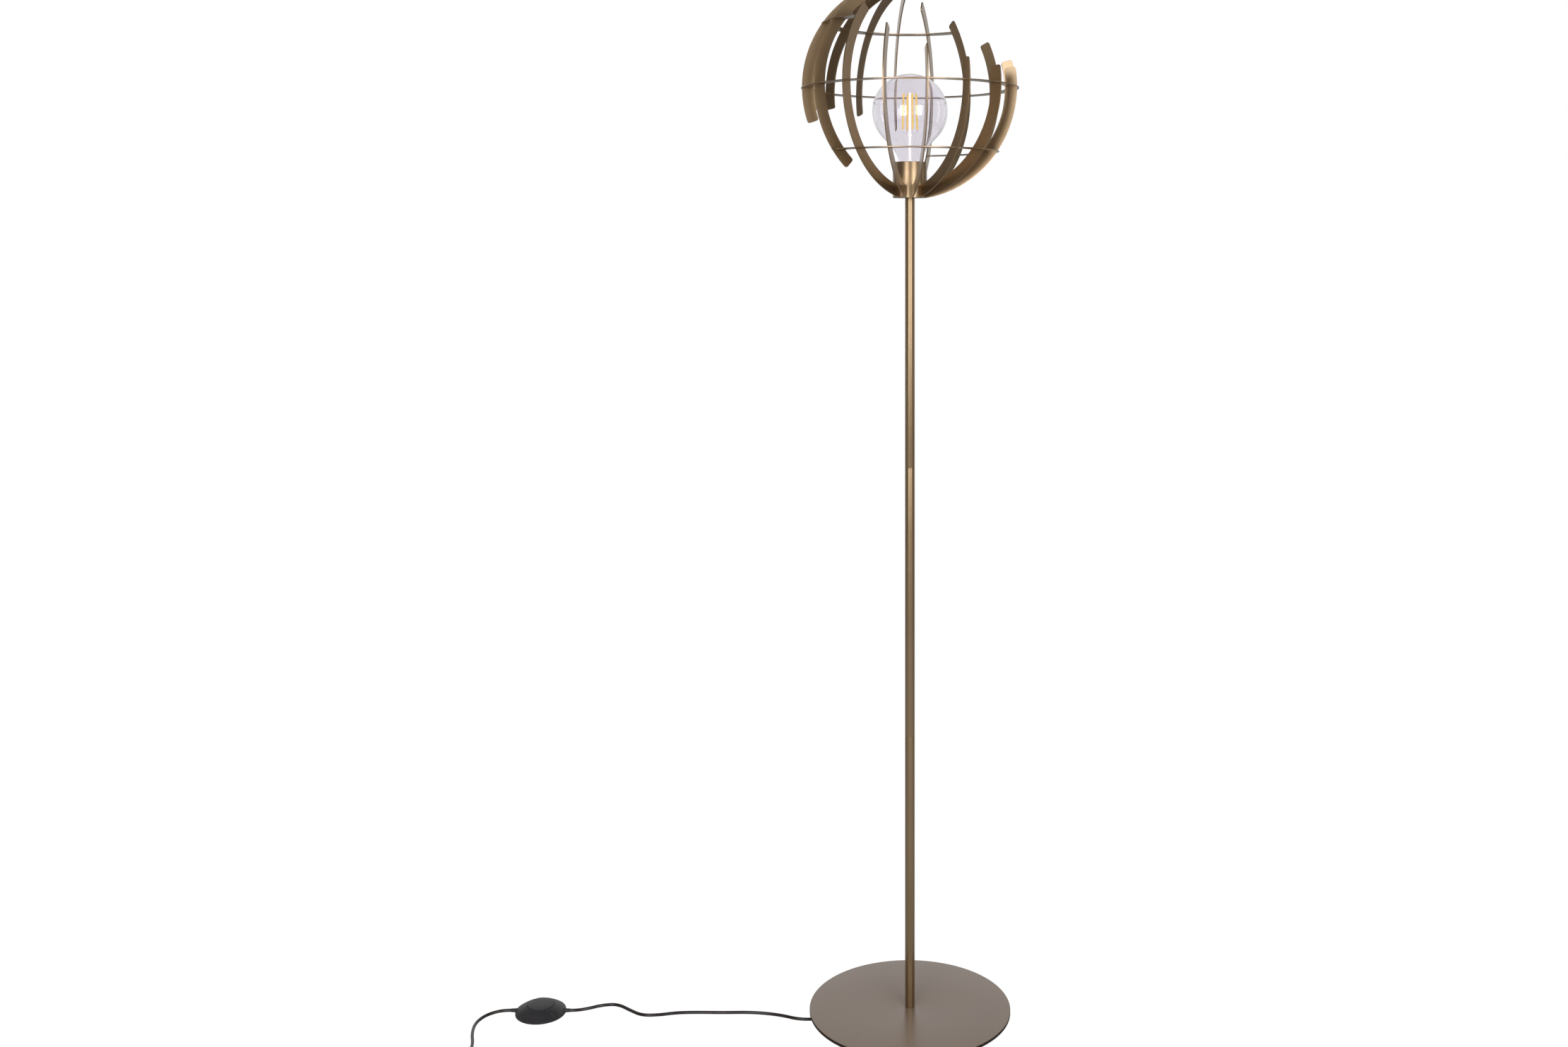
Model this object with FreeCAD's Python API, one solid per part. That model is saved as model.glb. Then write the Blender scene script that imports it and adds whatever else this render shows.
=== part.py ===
import FreeCAD, Part
import math
import os

# Floor lamp: a flat steel disc, a straight tube pole, a cup with a globe bulb in it,
# and a ball-shaped cage of flat ribs and rings round the bulb. A cord with a foot
# switch lies on the floor beside it.
# Millimetres, +Z up. The origin is on the floor, on the pole's axis. The picture
# looks along +Y. A rib's azimuth is 0 towards the viewer and 90 towards +X.

Vec = FreeCAD.Vector
UP = Vec(0, 0, 1)
CENTRE = Vec(0, 0, 0)

# ---- clearances -------------------------------------------------------------
PLAY = 0.05  # round a piece that is held in a round hole
SLOT_PLAY = 0.1  # each side of a plate in its slot
SOFT_GAP = 0.3  # between pieces that move past each other

# ---- base -------------------------------------------------------------------
PLATE_RADIUS = 166.5
PLATE_THICK = 5.0
PLATE_EDGE = 0.6  # rounding of the plate's rim
FOOT_HEIGHT = 6.0
FOOT_RADIUS = 11.0
FOOT_COUNT = 6
FOOT_RING = 145.0  # feet's distance from the axis
FOOT_FIRST = 30.0  # azimuth of the first foot, so that the cord passes between two

# ---- pole -------------------------------------------------------------------
POLE_RADIUS = 8.0
POLE_WALL = 1.0
SECTION_LENGTH = 447.8
INSERT_LENGTH = 15.0
THREAD_RADIUS = 5.0  # M10 nipples
NIPPLE_BORE = 3.8
NIPPLE_GRIP = 12.0  # thread length in an insert
WIRE_RADIUS = 1.1
WIRE_OFFSET = 1.3  # each wire's distance from the axis
WIRE_BEND = 3.0

# ---- cup and lampholder -----------------------------------------------------
CUP_RADIUS = 28.5
CUP_WALL = 1.2
CUP_FLOOR = 2.0
CUP_HEIGHT = 59.5
WASHER_RADIUS = 11.0
WASHER_THICK = 1.0
NUT_FLATS = 14.0
NUT_HEIGHT = 4.0
BUSH_HEIGHT = 8.0  # thread length in the lampholder
HOLDER_RADIUS = 20.0
HOLDER_WALL = 2.0
HOLDER_CAP_HEIGHT = 14.5
BLOCK_HEIGHT = 8.0
LINER_WALL = 0.4
LINER_HEIGHT = 23.0
SKIRT_RISE = 1.5  # skirt's edge above the liner's
STRIP_THICK = 0.5

# ---- bulb -------------------------------------------------------------------
GLOBE_RADIUS = 62.5
GLASS_WALL = 0.9
BULB_LENGTH = 179.5
NECK_RADIUS = 18.8  # where the neck leaves the cap's shoulder
SHOULDER_HEIGHT = 5.6
THROAT_RADIUS = 29.4  # half way up the neck
SWELL_ANGLE = 44.0  # below the globe's equator, where the sphere ends
CAP_RADIUS = 13.2
CAP_WALL = 0.4
CAP_HEIGHT = 22.0
CAP_LIP = 5.0  # smooth part above the thread
THREAD_PITCH = 3.63
THREAD_DEPTH = 1.1
TIP_RADIUS = 4.8
TIP_HEIGHT = 1.4
CONE_HEIGHT = 4.0  # black insulator between tip and shell
STEM_RADIUS = 2.3
STEM_BEAD = 3.8
FILAMENT_RADIUS = 1.5
FILAMENT_LENGTH = 64.0
FILAMENT_RING = 12.4
FILAMENT_COUNT = 4
FILAMENT_TURN = 20.0
FILAMENT_DROP = 32.5  # filaments' lower ends below the globe's centre
SUPPORT_RADIUS = 0.4

# ---- cage -------------------------------------------------------------------
CAGE_RADIUS = 180.0  # outside of the ribs at the equator
ARC_OFFSET = 5.0  # the ribs' arcs are centred this far past the axis
RIB_WIDTH = 19.0
RIB_THICK = 2.0
RIB_CORNER = 4.0
RIB_FIRST = -59.5  # azimuth of rib_01
HUB_RADIUS = 20.0
HUB_WALL = 2.5
RING_THICK = 1.5
RING_PROUD = 1.0  # rings stand out past the ribs
RING_HEIGHTS = {"upper": 106.7, "equator": 0.0, "lower": -105.0}  # from the equator

# Where each rib ends, in degrees above the equator on its own arc. RISE ribs
# stand on the cup, HANG ribs hang from the crown hub.
RISE, HANG = -1, 1
RIBS = [
    (HANG, -47.0),
    (RISE, 45.0),
    (RISE, 29.5),
    (RISE, 17.5),
    (RISE, 11.5),
    (RISE, 9.0),
    (RISE, 10.0),
    (RISE, 16.0),
    (RISE, 28.5),
    (RISE, 44.0),
    (RISE, 59.0),
    (HANG, -19.5),
    (HANG, -11.0),
    (HANG, -8.5),
    (HANG, -11.0),
    (HANG, -19.0),
]

# ---- cord -------------------------------------------------------------------
CORD_RADIUS = 2.5
CLAMP_LENGTH = 24.0
CLAMP_WIDTH = 22.0
CLAMP_NEAR = 12.0  # clamp's near face from the axis
CLAMP_CORD_HEIGHT = 3.1
SCREW_RADIUS = 1.5
SCREW_HEAD = 2.6
SCREW_HEAD_DEPTH = 1.4
CLAMP_SCREW_SPAN = 14.0
CLAMP_SCREW_BITE = 3.5  # length in the plate

# ---- foot switch ------------------------------------------------------------
SWITCH_X = -614.0
SWITCH_Y = 1.0
SWITCH_RADIUS = 41.5
SWITCH_RIM = 3.2  # height of the upright rim
SWITCH_SHOULDER = 13.6  # height of the cover round the button
SWITCH_WALL = 1.8
SWITCH_FLOOR = 2.2
BUTTON_RADIUS = 22.0
BUTTON_CROWN = 15.8
BUTTON_WALL = 2.0
BUTTON_TRAVEL = 2.5
BUTTON_SKIRT = 4.4  # skirt's height under the button's edge
FLANGE_WIDTH = 2.0
FLANGE_THICK = 1.4
COLLAR_HEIGHT = 3.6
PLUNGER_RADIUS = 4.0
PLUNGER_LENGTH = 5.5
SPRING_RADIUS = 6.2
SPRING_WIRE = 0.4
SPRING_TURNS = 5
POST_RADIUS = 3.2
POST_RING = 32.5
POST_COUNT = 3
RELIEF_LENGTH = 8.0
RELIEF_ROOT = 3.1
RELIEF_TIP = 2.7
RELIEF_SEAT = 8.0  # length inside the cover
SWITCH_WIRE = 0.9
BLOCK_LENGTH = 36.0
BLOCK_WIDTH = 18.0
BLOCK_DEPTH = 3.4
BLOCK_WIRE_HEIGHT = 3.4

# ---- plug -------------------------------------------------------------------
PLUG_WIDTH = 35.0
PLUG_LENGTH = 36.0
PLUG_NOSE = 24.0  # tapered relief behind the body
PIN_RADIUS = 2.0
PIN_LENGTH = 19.0
PIN_SPAN = 18.6

# ---- coil of put-away cord --------------------------------------------------
COIL_X = -664.0
COIL_Y = -184.0
COIL_INNER = 19.5  # inmost turn's radius
COIL_PITCH = 5.6
COIL_TURNS_IN = 3.0
COIL_TURNS_OUT = 3.25
COIL_START = 180.0  # direction of the start, anticlockwise from +X
TIE_THICK = 0.6
TIE_WIDTH = 6.0
TIE_AZIMUTH = 40.0

# ---- places that follow from the sizes --------------------------------------
BASE_TOP = FOOT_HEIGHT + PLATE_THICK
CUP_BOTTOM = BASE_TOP + 3 * SECTION_LENGTH
RIB_OUTER = CAGE_RADIUS + ARC_OFFSET
RIB_INNER = RIB_OUTER - RIB_WIDTH
# the ribs' outer edges meet the cup at its bottom edge
CAGE_CENTRE = CUP_BOTTOM + math.sqrt(RIB_OUTER**2 - (CUP_RADIUS + ARC_OFFSET) ** 2)
WASHER_BOTTOM = CUP_BOTTOM + CUP_FLOOR
NUT_BOTTOM = WASHER_BOTTOM + WASHER_THICK
HOLDER_BOTTOM = NUT_BOTTOM + NUT_HEIGHT
NIPPLE_TOP = HOLDER_BOTTOM + BUSH_HEIGHT
HOLDER_SEAM = HOLDER_BOTTOM + HOLDER_CAP_HEIGHT
BLOCK_BOTTOM = HOLDER_SEAM - BLOCK_HEIGHT / 2
BLOCK_TOP = BLOCK_BOTTOM + BLOCK_HEIGHT
STRIP_TOP = BLOCK_TOP + 2 * STRIP_THICK
TIP_BOTTOM = STRIP_TOP + SOFT_GAP
CONE_BOTTOM = TIP_BOTTOM + TIP_HEIGHT
CAP_BOTTOM = CONE_BOTTOM + CONE_HEIGHT
CAP_TOP = CAP_BOTTOM + CAP_HEIGHT
GLOBE_CENTRE = TIP_BOTTOM + BULB_LENGTH - GLOBE_RADIUS
LINER_INNER = CAP_RADIUS + SOFT_GAP
COIL_LOW = TIE_THICK + SOFT_GAP + CORD_RADIUS
COIL_HIGH = COIL_LOW + COIL_PITCH
COIL_OUTER = COIL_INNER + COIL_TURNS_IN * COIL_PITCH
PLUG_THICK = 2 * COIL_HIGH  # the plug lies flat, its lead level with the top turns
BUTTON_EDGE = SWITCH_SHOULDER + SOFT_GAP
RELIEF_HEIGHT = RELIEF_ROOT + SOFT_GAP


# ---- small tools ------------------------------------------------------------
def cylinder(radius, bottom, top, x=0.0, y=0.0):
    return Part.makeCylinder(radius, top - bottom, Vec(x, y, bottom))


def tube(outer, inner, bottom, top):
    return cylinder(outer, bottom, top).cut(cylinder(inner, bottom - 1, top + 1))


def block(x, y, z):
    """A box from three (low, high) pairs."""
    return Part.makeBox(x[1] - x[0], y[1] - y[0], z[1] - z[0], Vec(x[0], y[0], z[0]))


def turn(shape, degrees, centre=CENTRE, axis=UP):
    copy = shape.copy()
    copy.rotate(centre, axis, degrees)
    return copy


def shift(shape, x=0.0, y=0.0, z=0.0):
    copy = shape.copy()
    copy.translate(Vec(x, y, z))
    return copy


def outline(start, *steps):
    """A closed wire in the XZ plane. A step is a point, or an arc's (middle, end)."""
    first = at = Vec(start[0], 0, start[1])
    edges = []
    for step in steps:
        if isinstance(step[0], tuple):
            middle, end = (Vec(x, 0, z) for x, z in step)
            edges.append(Part.Arc(at, middle, end).toShape())
        else:
            end = Vec(step[0], 0, step[1])
            edges.append(Part.LineSegment(at, end).toShape())
        at = end
    if at.distanceToPoint(first) > 1e-6:
        edges.append(Part.LineSegment(at, first).toShape())
    return Part.Wire(edges)


def turned(start, *steps):
    """The outline spun round the Z axis."""
    solid = Part.Face(outline(start, *steps)).revolve(CENTRE, UP, 360)
    return Part.Solid(solid) if solid.ShapeType != "Solid" else solid


def on_circle(centre, radius, degrees):
    a = math.radians(degrees)
    return (centre[0] + radius * math.cos(a), centre[1] + radius * math.sin(a))


def ring_of(count, first, shape):
    return [turn(shape, first + k * 360.0 / count) for k in range(count)]


def corner_arc(before, corner, after):
    """The arc that is tangent to both legs of a corner with equal legs."""
    half = (corner - before).getAngle(after - corner) / 2
    leg = corner.distanceToPoint(before)
    middle = (before + after) * 0.5
    inward = (middle - corner).normalize()
    depth = leg / math.tan(half) * (1 / math.cos(half) - 1)
    return Part.Arc(before, corner + inward * depth, after).toShape()


def pipe(edges, radius, name):
    """A round tube along tangent edges. Its volume is compared with section times length."""
    path = Part.Wire(edges)
    start = edges[0].valueAt(edges[0].FirstParameter)
    along = edges[0].tangentAt(edges[0].FirstParameter)
    section = Part.Wire(Part.Circle(start, along, radius).toShape())
    solid = path.makePipeShell([section], True, False)
    straight = math.pi * radius**2 * path.Length
    share = solid.Volume / straight
    print(f"{name}: length {path.Length:.1f}, volume {share:.4f} of its section times length")
    return solid


def cord_along(points, name):
    """Straight runs joined by the largest tangent arcs that the runs leave room for."""
    points = [Vec(*p) for p in points]
    runs = [a.distanceToPoint(b) for a, b in zip(points, points[1:])]
    edges, at, radii = [], points[0], []
    for k in range(1, len(points) - 1):
        before, corner, after = points[k - 1 : k + 2]
        leg = 0.45 * min(runs[k - 1], runs[k])
        arc_from = corner + (before - corner).normalize() * leg
        arc_to = corner + (after - corner).normalize() * leg
        half = (corner - before).getAngle(after - corner) / 2
        radii.append(leg / math.tan(half))
        edges.append(Part.LineSegment(at, arc_from).toShape())
        edges.append(corner_arc(arc_from, corner, arc_to))
        at = arc_to
    edges.append(Part.LineSegment(at, points[-1]).toShape())
    print(f"{name}: bend radii", " ".join(f"{r:.0f}" for r in radii))
    print(f"{name}: runs", " ".join(f"{r:.0f}" for r in runs))
    return pipe(edges, CORD_RADIUS, name)


def biarc(start, out, end, into):
    """Two tangent arcs from start, leaving along out, to end, arriving along into."""
    across = end - start
    both = out + into
    bend = 2 * (1 - out.dot(into))
    reach = across.dot(both)
    leg = (math.sqrt(reach**2 + bend * across.dot(across)) - reach) / bend
    first, second = start + out * leg, end - into * leg
    middle = (first + second) * 0.5
    return [corner_arc(start, first, middle), corner_arc(middle, second, end)]


def winding(stations):
    """Biarcs through (point, direction) stations."""
    edges = []
    for (start, out), (end, into) in zip(stations, stations[1:]):
        edges += biarc(start, out, end, into)
    return edges


def least_gap(edges, radius, skip):
    """The least gap between turns, on points along the path, skipping near neighbours."""
    points, along = [], []
    travelled = 0.0
    for edge in edges:
        steps = 12
        for k in range(steps):
            share = k / steps
            low, high = edge.FirstParameter, edge.LastParameter
            points.append(edge.valueAt(low + (high - low) * share))
            along.append(travelled + edge.Length * share)
        travelled += edge.Length
    gaps = [
        points[i].distanceToPoint(points[j]) - 2 * radius
        for i in range(len(points))
        for j in range(i + 1, len(points))
        if along[j] - along[i] > skip
    ]
    return min(gaps)


# ---- base -------------------------------------------------------------------
def clamp_screw_places():
    middle = -(CLAMP_NEAR + CLAMP_LENGTH / 2)
    return [(middle, y) for y in (-CLAMP_SCREW_SPAN / 2, CLAMP_SCREW_SPAN / 2)]


def base_plate():
    plate = cylinder(PLATE_RADIUS, FOOT_HEIGHT, BASE_TOP)
    rims = [e for e in plate.Edges if e.Length > 2 * PLATE_RADIUS]
    plate = plate.makeFillet(PLATE_EDGE, rims)
    plate = plate.cut(cylinder(THREAD_RADIUS + PLAY, FOOT_HEIGHT - 1, BASE_TOP + 1))
    for x, y in clamp_screw_places():
        top = FOOT_HEIGHT + CLAMP_SCREW_BITE + SOFT_GAP
        plate = plate.cut(cylinder(SCREW_RADIUS + PLAY, FOOT_HEIGHT - 1, top, x, y))
    return plate


def base_feet():
    foot = cylinder(FOOT_RADIUS, 0, FOOT_HEIGHT, FOOT_RING)
    foot = foot.makeFillet(1.0, [e for e in foot.Edges if e.BoundBox.ZMax < 0.1])
    return ring_of(FOOT_COUNT, FOOT_FIRST, foot)


def cord_clamp():
    far = CLAMP_NEAR + CLAMP_LENGTH
    body = block((-far, -CLAMP_NEAR), (-CLAMP_WIDTH / 2, CLAMP_WIDTH / 2), (SOFT_GAP, FOOT_HEIGHT))
    upright = [e for e in body.Edges if e.BoundBox.ZLength > 1]
    body = body.makeFillet(2.5, upright)
    for x, y in clamp_screw_places():
        body = body.cut(cylinder(SCREW_RADIUS + PLAY, 0, FOOT_HEIGHT + 1, x, y))
        body = body.cut(cylinder(SCREW_HEAD + PLAY, 0, SOFT_GAP + SCREW_HEAD_DEPTH, x, y))
    return body


def clamp_screws():
    top = FOOT_HEIGHT + CLAMP_SCREW_BITE
    return [
        cylinder(SCREW_RADIUS, SOFT_GAP, top, x, y).fuse(
            cylinder(SCREW_HEAD, SOFT_GAP, SOFT_GAP + SCREW_HEAD_DEPTH, x, y)
        )
        for x, y in clamp_screw_places()
    ]


# ---- pole -------------------------------------------------------------------
def section_ends():
    return [BASE_TOP + k * SECTION_LENGTH for k in range(4)]


def pole_section(number):
    low, high = section_ends()[number : number + 2]
    section = tube(POLE_RADIUS, POLE_RADIUS - POLE_WALL, low, high)
    round_about = 2 * math.pi * POLE_RADIUS - 0.1
    rims = [e for e in section.Edges if e.Length > round_about and e.BoundBox.ZLength < 0.1]
    return section.makeFillet(0.2, rims)


def pole_inserts():
    """A threaded insert in each end of each section."""
    outer = POLE_RADIUS - POLE_WALL - PLAY
    inserts = []
    for low, high in zip(section_ends(), section_ends()[1:]):
        for bottom in (low, high - INSERT_LENGTH):
            inserts.append(tube(outer, THREAD_RADIUS + PLAY, bottom, bottom + INSERT_LENGTH))
    return inserts


def threaded_nipples():
    """Hollow threaded rods: one in the base, one at each pole joint, one through the cup."""
    foot, joint_1, joint_2, top = section_ends()
    spans = [(FOOT_HEIGHT, foot + NIPPLE_GRIP)]
    spans += [(z - NIPPLE_GRIP, z + NIPPLE_GRIP) for z in (joint_1, joint_2)]
    spans += [(top - NIPPLE_GRIP, NIPPLE_TOP)]
    return [tube(THREAD_RADIUS, NIPPLE_BORE, low, high) for low, high in spans]


def pole_wires():
    """Two insulated wires: up through the pole, and bent under the base to the clamp."""
    wires = []
    for y in (-WIRE_OFFSET, WIRE_OFFSET):
        level = FOOT_HEIGHT - WIRE_BEND
        top, knee = Vec(0, y, BLOCK_BOTTOM), Vec(0, y, FOOT_HEIGHT)
        turned_to = Vec(-WIRE_BEND, y, level)
        end = Vec(-CLAMP_NEAR, y, level)
        edges = [
            Part.LineSegment(top, knee).toShape(),
            corner_arc(knee, Vec(0, y, level), turned_to),
            Part.LineSegment(turned_to, end).toShape(),
        ]
        wires.append(pipe(edges, WIRE_RADIUS, "pole wire"))
    return wires


# ---- cup and lampholder -----------------------------------------------------
def socket_cup():
    top, edge = CUP_BOTTOM + CUP_HEIGHT, 0.5
    inner = CUP_RADIUS - CUP_WALL
    bore = THREAD_RADIUS + PLAY
    return turned(
        (bore, CUP_BOTTOM),
        (CUP_RADIUS - edge, CUP_BOTTOM),
        (on_circle((CUP_RADIUS - edge, CUP_BOTTOM + edge), edge, -45), (CUP_RADIUS, CUP_BOTTOM + edge)),
        (CUP_RADIUS, top - edge),
        (on_circle((CUP_RADIUS - edge, top - edge), edge, 45), (CUP_RADIUS - edge, top)),
        (inner, top),
        (inner, WASHER_BOTTOM),
        (bore, WASHER_BOTTOM),
    )


def cup_washer():
    return tube(WASHER_RADIUS, THREAD_RADIUS + PLAY, WASHER_BOTTOM, NUT_BOTTOM)


def cup_nut():
    across = NUT_FLATS / math.sqrt(3)
    corners = [Vec(*on_circle((0, 0), across, 60 * k), NUT_BOTTOM) for k in range(7)]
    nut = Part.Face(Part.makePolygon(corners)).extrude(Vec(0, 0, NUT_HEIGHT))
    return nut.cut(cylinder(THREAD_RADIUS + PLAY, NUT_BOTTOM - 1, HOLDER_BOTTOM + 1))


def lampholder_cap():
    """The lampholder's lower shell, with the threaded bush that screws onto the nipple."""
    bore, bush = THREAD_RADIUS + PLAY, THREAD_RADIUS + 3
    slope = HOLDER_BOTTOM + BUSH_HEIGHT
    wide = HOLDER_RADIUS - HOLDER_WALL
    return turned(
        (bore, HOLDER_BOTTOM),
        (bush, HOLDER_BOTTOM),
        (HOLDER_RADIUS, slope),
        (HOLDER_RADIUS, HOLDER_SEAM),
        (wide, HOLDER_SEAM),
        (wide, slope + HOLDER_WALL),
        (bush, HOLDER_BOTTOM + HOLDER_WALL + 1),
        (bush, slope),
        (bore, slope),
    )


def lampholder_skirt():
    top = BLOCK_TOP + LINER_HEIGHT + SKIRT_RISE
    skirt = tube(HOLDER_RADIUS, HOLDER_RADIUS - HOLDER_WALL, HOLDER_SEAM, top)
    grips = [
        cylinder(0.8, HOLDER_SEAM + 6, top - 4, *on_circle((0, 0), HOLDER_RADIUS, 15 * k))
        for k in range(24)
    ]
    return skirt.cut(Part.makeCompound(grips))


def lampholder_block():
    """Insulating block that carries the contacts, with a hole for each wire's end."""
    radius = HOLDER_RADIUS - HOLDER_WALL - PLAY
    body = cylinder(radius, BLOCK_BOTTOM, BLOCK_TOP)
    return body.cut(cylinder(1.5, BLOCK_TOP - 4, BLOCK_TOP + 1, 9))


def lampholder_liner():
    """The screw shell, with a foot that lies on the block."""
    inner, outer = LINER_INNER, LINER_INNER + LINER_WALL
    top = BLOCK_TOP + LINER_HEIGHT
    return turned(
        (inner, BLOCK_TOP),
        (outer + 2, BLOCK_TOP),
        (outer + 2, BLOCK_TOP + LINER_WALL),
        (outer, BLOCK_TOP + LINER_WALL),
        (outer, top),
        (inner, top),
    )


def centre_contact():
    """A springy strip on the block, raised in the middle to meet the bulb's tip."""
    reach, rise = 9.0, STRIP_TOP - STRIP_THICK
    low = (BLOCK_TOP, BLOCK_TOP + STRIP_THICK)
    strip = block((-reach, reach), (-2.5, 2.5), low)
    return strip.fuse(block((-3, 3), (-2.5, 2.5), (rise, STRIP_TOP)))


# ---- cage -------------------------------------------------------------------
def rib_azimuth(index):
    return RIB_FIRST + index * 360.0 / len(RIBS)


def rib_point(radius, degrees):
    return on_circle((-ARC_OFFSET, CAGE_CENTRE), radius, degrees)


def foot_angle(side, radius):
    """Where a rib's arc of this radius meets the cup or the hub."""
    foot = CUP_RADIUS if side == RISE else HUB_RADIUS
    return side * math.degrees(math.acos((foot + ARC_OFFSET) / radius))


def ring_radii(name):
    """A ring's inner radius, the ribs' outer radius and the middle, at the ring's height."""
    rise = RING_HEIGHTS[name]
    inner = math.sqrt(RIB_INNER**2 - rise**2) - ARC_OFFSET
    outer = math.sqrt(RIB_OUTER**2 - rise**2) - ARC_OFFSET
    return inner, outer, (inner + outer) / 2


def rib_meets(index, name):
    side, tip = RIBS[index]
    level = math.degrees(math.asin(RING_HEIGHTS[name] / RIB_OUTER))
    return level < tip if side == RISE else level > tip


def ring_slots(name, middle, outer):
    """The slot that a rib has for a ring, cut in from its outer edge."""
    z = CAGE_CENTRE + RING_HEIGHTS[name]
    half = RING_THICK / 2 + SLOT_PLAY
    return block((middle - SLOT_PLAY, outer + 5), (-RIB_THICK, RIB_THICK), (z - half, z + half))


def rib(index):
    side, tip = RIBS[index]
    back = side * RIB_CORNER  # towards the foot, seen from the tip
    outer_foot, inner_foot = (foot_angle(side, r) for r in (RIB_OUTER, RIB_INNER))
    outer_end = tip + math.degrees(back / RIB_OUTER)
    inner_end = tip + math.degrees(back / RIB_INNER)
    rounding = RIB_CORNER * (1 - math.sqrt(0.5))
    outer_round = rib_point(RIB_OUTER - rounding, tip + math.degrees(side * rounding / RIB_OUTER))
    inner_round = rib_point(RIB_INNER + rounding, tip + math.degrees(side * rounding / RIB_INNER))
    wire = outline(
        rib_point(RIB_OUTER, outer_foot),
        (rib_point(RIB_OUTER, (outer_foot + outer_end) / 2), rib_point(RIB_OUTER, outer_end)),
        (outer_round, rib_point(RIB_OUTER - RIB_CORNER, tip)),
        rib_point(RIB_INNER + RIB_CORNER, tip),
        (inner_round, rib_point(RIB_INNER, inner_end)),
        (rib_point(RIB_INNER, (inner_foot + inner_end) / 2), rib_point(RIB_INNER, inner_foot)),
    )
    plate = shift(Part.Face(wire), y=-RIB_THICK / 2).extrude(Vec(0, RIB_THICK, 0))
    for name in RING_HEIGHTS:
        if rib_meets(index, name):
            inner, outer, middle = ring_radii(name)
            plate = plate.cut(ring_slots(name, middle, outer))
    return turn(plate, rib_azimuth(index) - 90)


def ring(name):
    """A flat ring through every rib that reaches its height, open past its end ribs."""
    inner, outer, middle = ring_radii(name)
    z = CAGE_CENTRE + RING_HEIGHTS[name] - RING_THICK / 2
    edge = outer + RING_PROUD
    held = [k for k in range(len(RIBS)) if rib_meets(k, name)]
    if len(held) == len(RIBS):
        flat = tube(edge, inner, z, z + RING_THICK)
    else:
        first = next(k for k in held if not rib_meets(k - 1, name))
        half = math.degrees(RIB_THICK / 2 / middle)
        low = rib_azimuth(first) - 90 - half
        sweep = (len(held) - 1) * 360.0 / len(RIBS) + 2 * half
        sector = [Part.makeCylinder(r, RING_THICK, Vec(0, 0, z), UP, sweep) for r in (edge, inner)]
        flat = turn(sector[0].cut(sector[1]), low)
    half_slot = RIB_THICK / 2 + SLOT_PLAY
    slot = block((inner - 5, middle), (-half_slot, half_slot), (z - 1, z + RING_THICK + 1))
    return flat.cut(Part.makeCompound([turn(slot, rib_azimuth(k) - 90) for k in held]))


def crown_hub():
    """The short closed tube at the top that the hanging ribs meet on."""
    low = rib_point(RIB_INNER, foot_angle(HANG, RIB_INNER))[1]
    high = rib_point(RIB_OUTER, foot_angle(HANG, RIB_OUTER))[1]
    edge = 1.0
    return turned(
        (0, high),
        (HUB_RADIUS - edge, high),
        (on_circle((HUB_RADIUS - edge, high - edge), edge, 45), (HUB_RADIUS, high - edge)),
        (HUB_RADIUS, low),
        (HUB_RADIUS - HUB_WALL, low),
        (HUB_RADIUS - HUB_WALL, high - HUB_WALL),
        (0, high - HUB_WALL),
    )


# ---- bulb -------------------------------------------------------------------
def glass_line(inset):
    """Half of the globe and neck's outline from the top down, this far inside the outside."""
    globe = (0.0, GLOBE_CENTRE)
    radius = GLOBE_RADIUS - inset
    swell = on_circle(globe, radius, -SWELL_ANGLE)
    neck = (NECK_RADIUS - inset, CAP_TOP + SHOULDER_HEIGHT)
    throat = (THROAT_RADIUS - inset, (neck[1] + swell[1]) / 2)
    seat = (CAP_RADIUS - CAP_WALL - PLAY - inset, CAP_TOP)
    bulge = ((swell[0] + throat[0]) / 2 - 0.5, (swell[1] + throat[1]) / 2 - 0.1)
    shoulder = ((neck[0] + seat[0]) / 2 + 0.9, (neck[1] + seat[1]) / 2 - 0.7)
    return [
        (0.0, GLOBE_CENTRE + radius),
        (on_circle(globe, radius, (90 - SWELL_ANGLE) / 2), swell),
        (bulge, throat),
        neck,
        (shoulder, seat),
        (seat[0], CAP_TOP - CAP_LIP + 0.5),
    ]


def bulb_glass():
    outside, inside = glass_line(0), glass_line(GLASS_WALL)
    whole = turned(outside[0], *outside[1:], (0.0, outside[-1][1]))
    hollow = turned(inside[0], *inside[1:], (0.0, inside[-1][1]))
    return whole.cut(hollow)


def bulb_cap():
    """The screw shell, with its thread as rings."""
    root = CAP_RADIUS - THREAD_DEPTH
    inner = root - CAP_WALL
    thread_top = CAP_TOP - CAP_LIP
    rings = int((thread_top - CAP_BOTTOM) / THREAD_PITCH)
    steps = [(root, CAP_BOTTOM)]
    for k in range(rings):
        low = CAP_BOTTOM + k * THREAD_PITCH
        steps.append(((CAP_RADIUS, low + THREAD_PITCH / 2), (root, low + THREAD_PITCH)))
    lip = CAP_RADIUS - CAP_WALL
    outside = [*steps, (root, thread_top), (CAP_RADIUS, thread_top), (CAP_RADIUS, CAP_TOP)]
    inside = [(lip, CAP_TOP), (lip, thread_top + CAP_WALL), (inner, thread_top + CAP_WALL)]
    floor = [(inner, CAP_BOTTOM + CAP_WALL), (0, CAP_BOTTOM + CAP_WALL)]
    return turned((0, CAP_BOTTOM), *outside, *inside, *floor)


def bulb_insulator():
    """The black cone between the shell and the tip."""
    root = CAP_RADIUS - THREAD_DEPTH
    return turned(
        (0, CONE_BOTTOM), (TIP_RADIUS + 0.6, CONE_BOTTOM), (root - 0.8, CAP_BOTTOM), (0, CAP_BOTTOM)
    )


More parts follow.
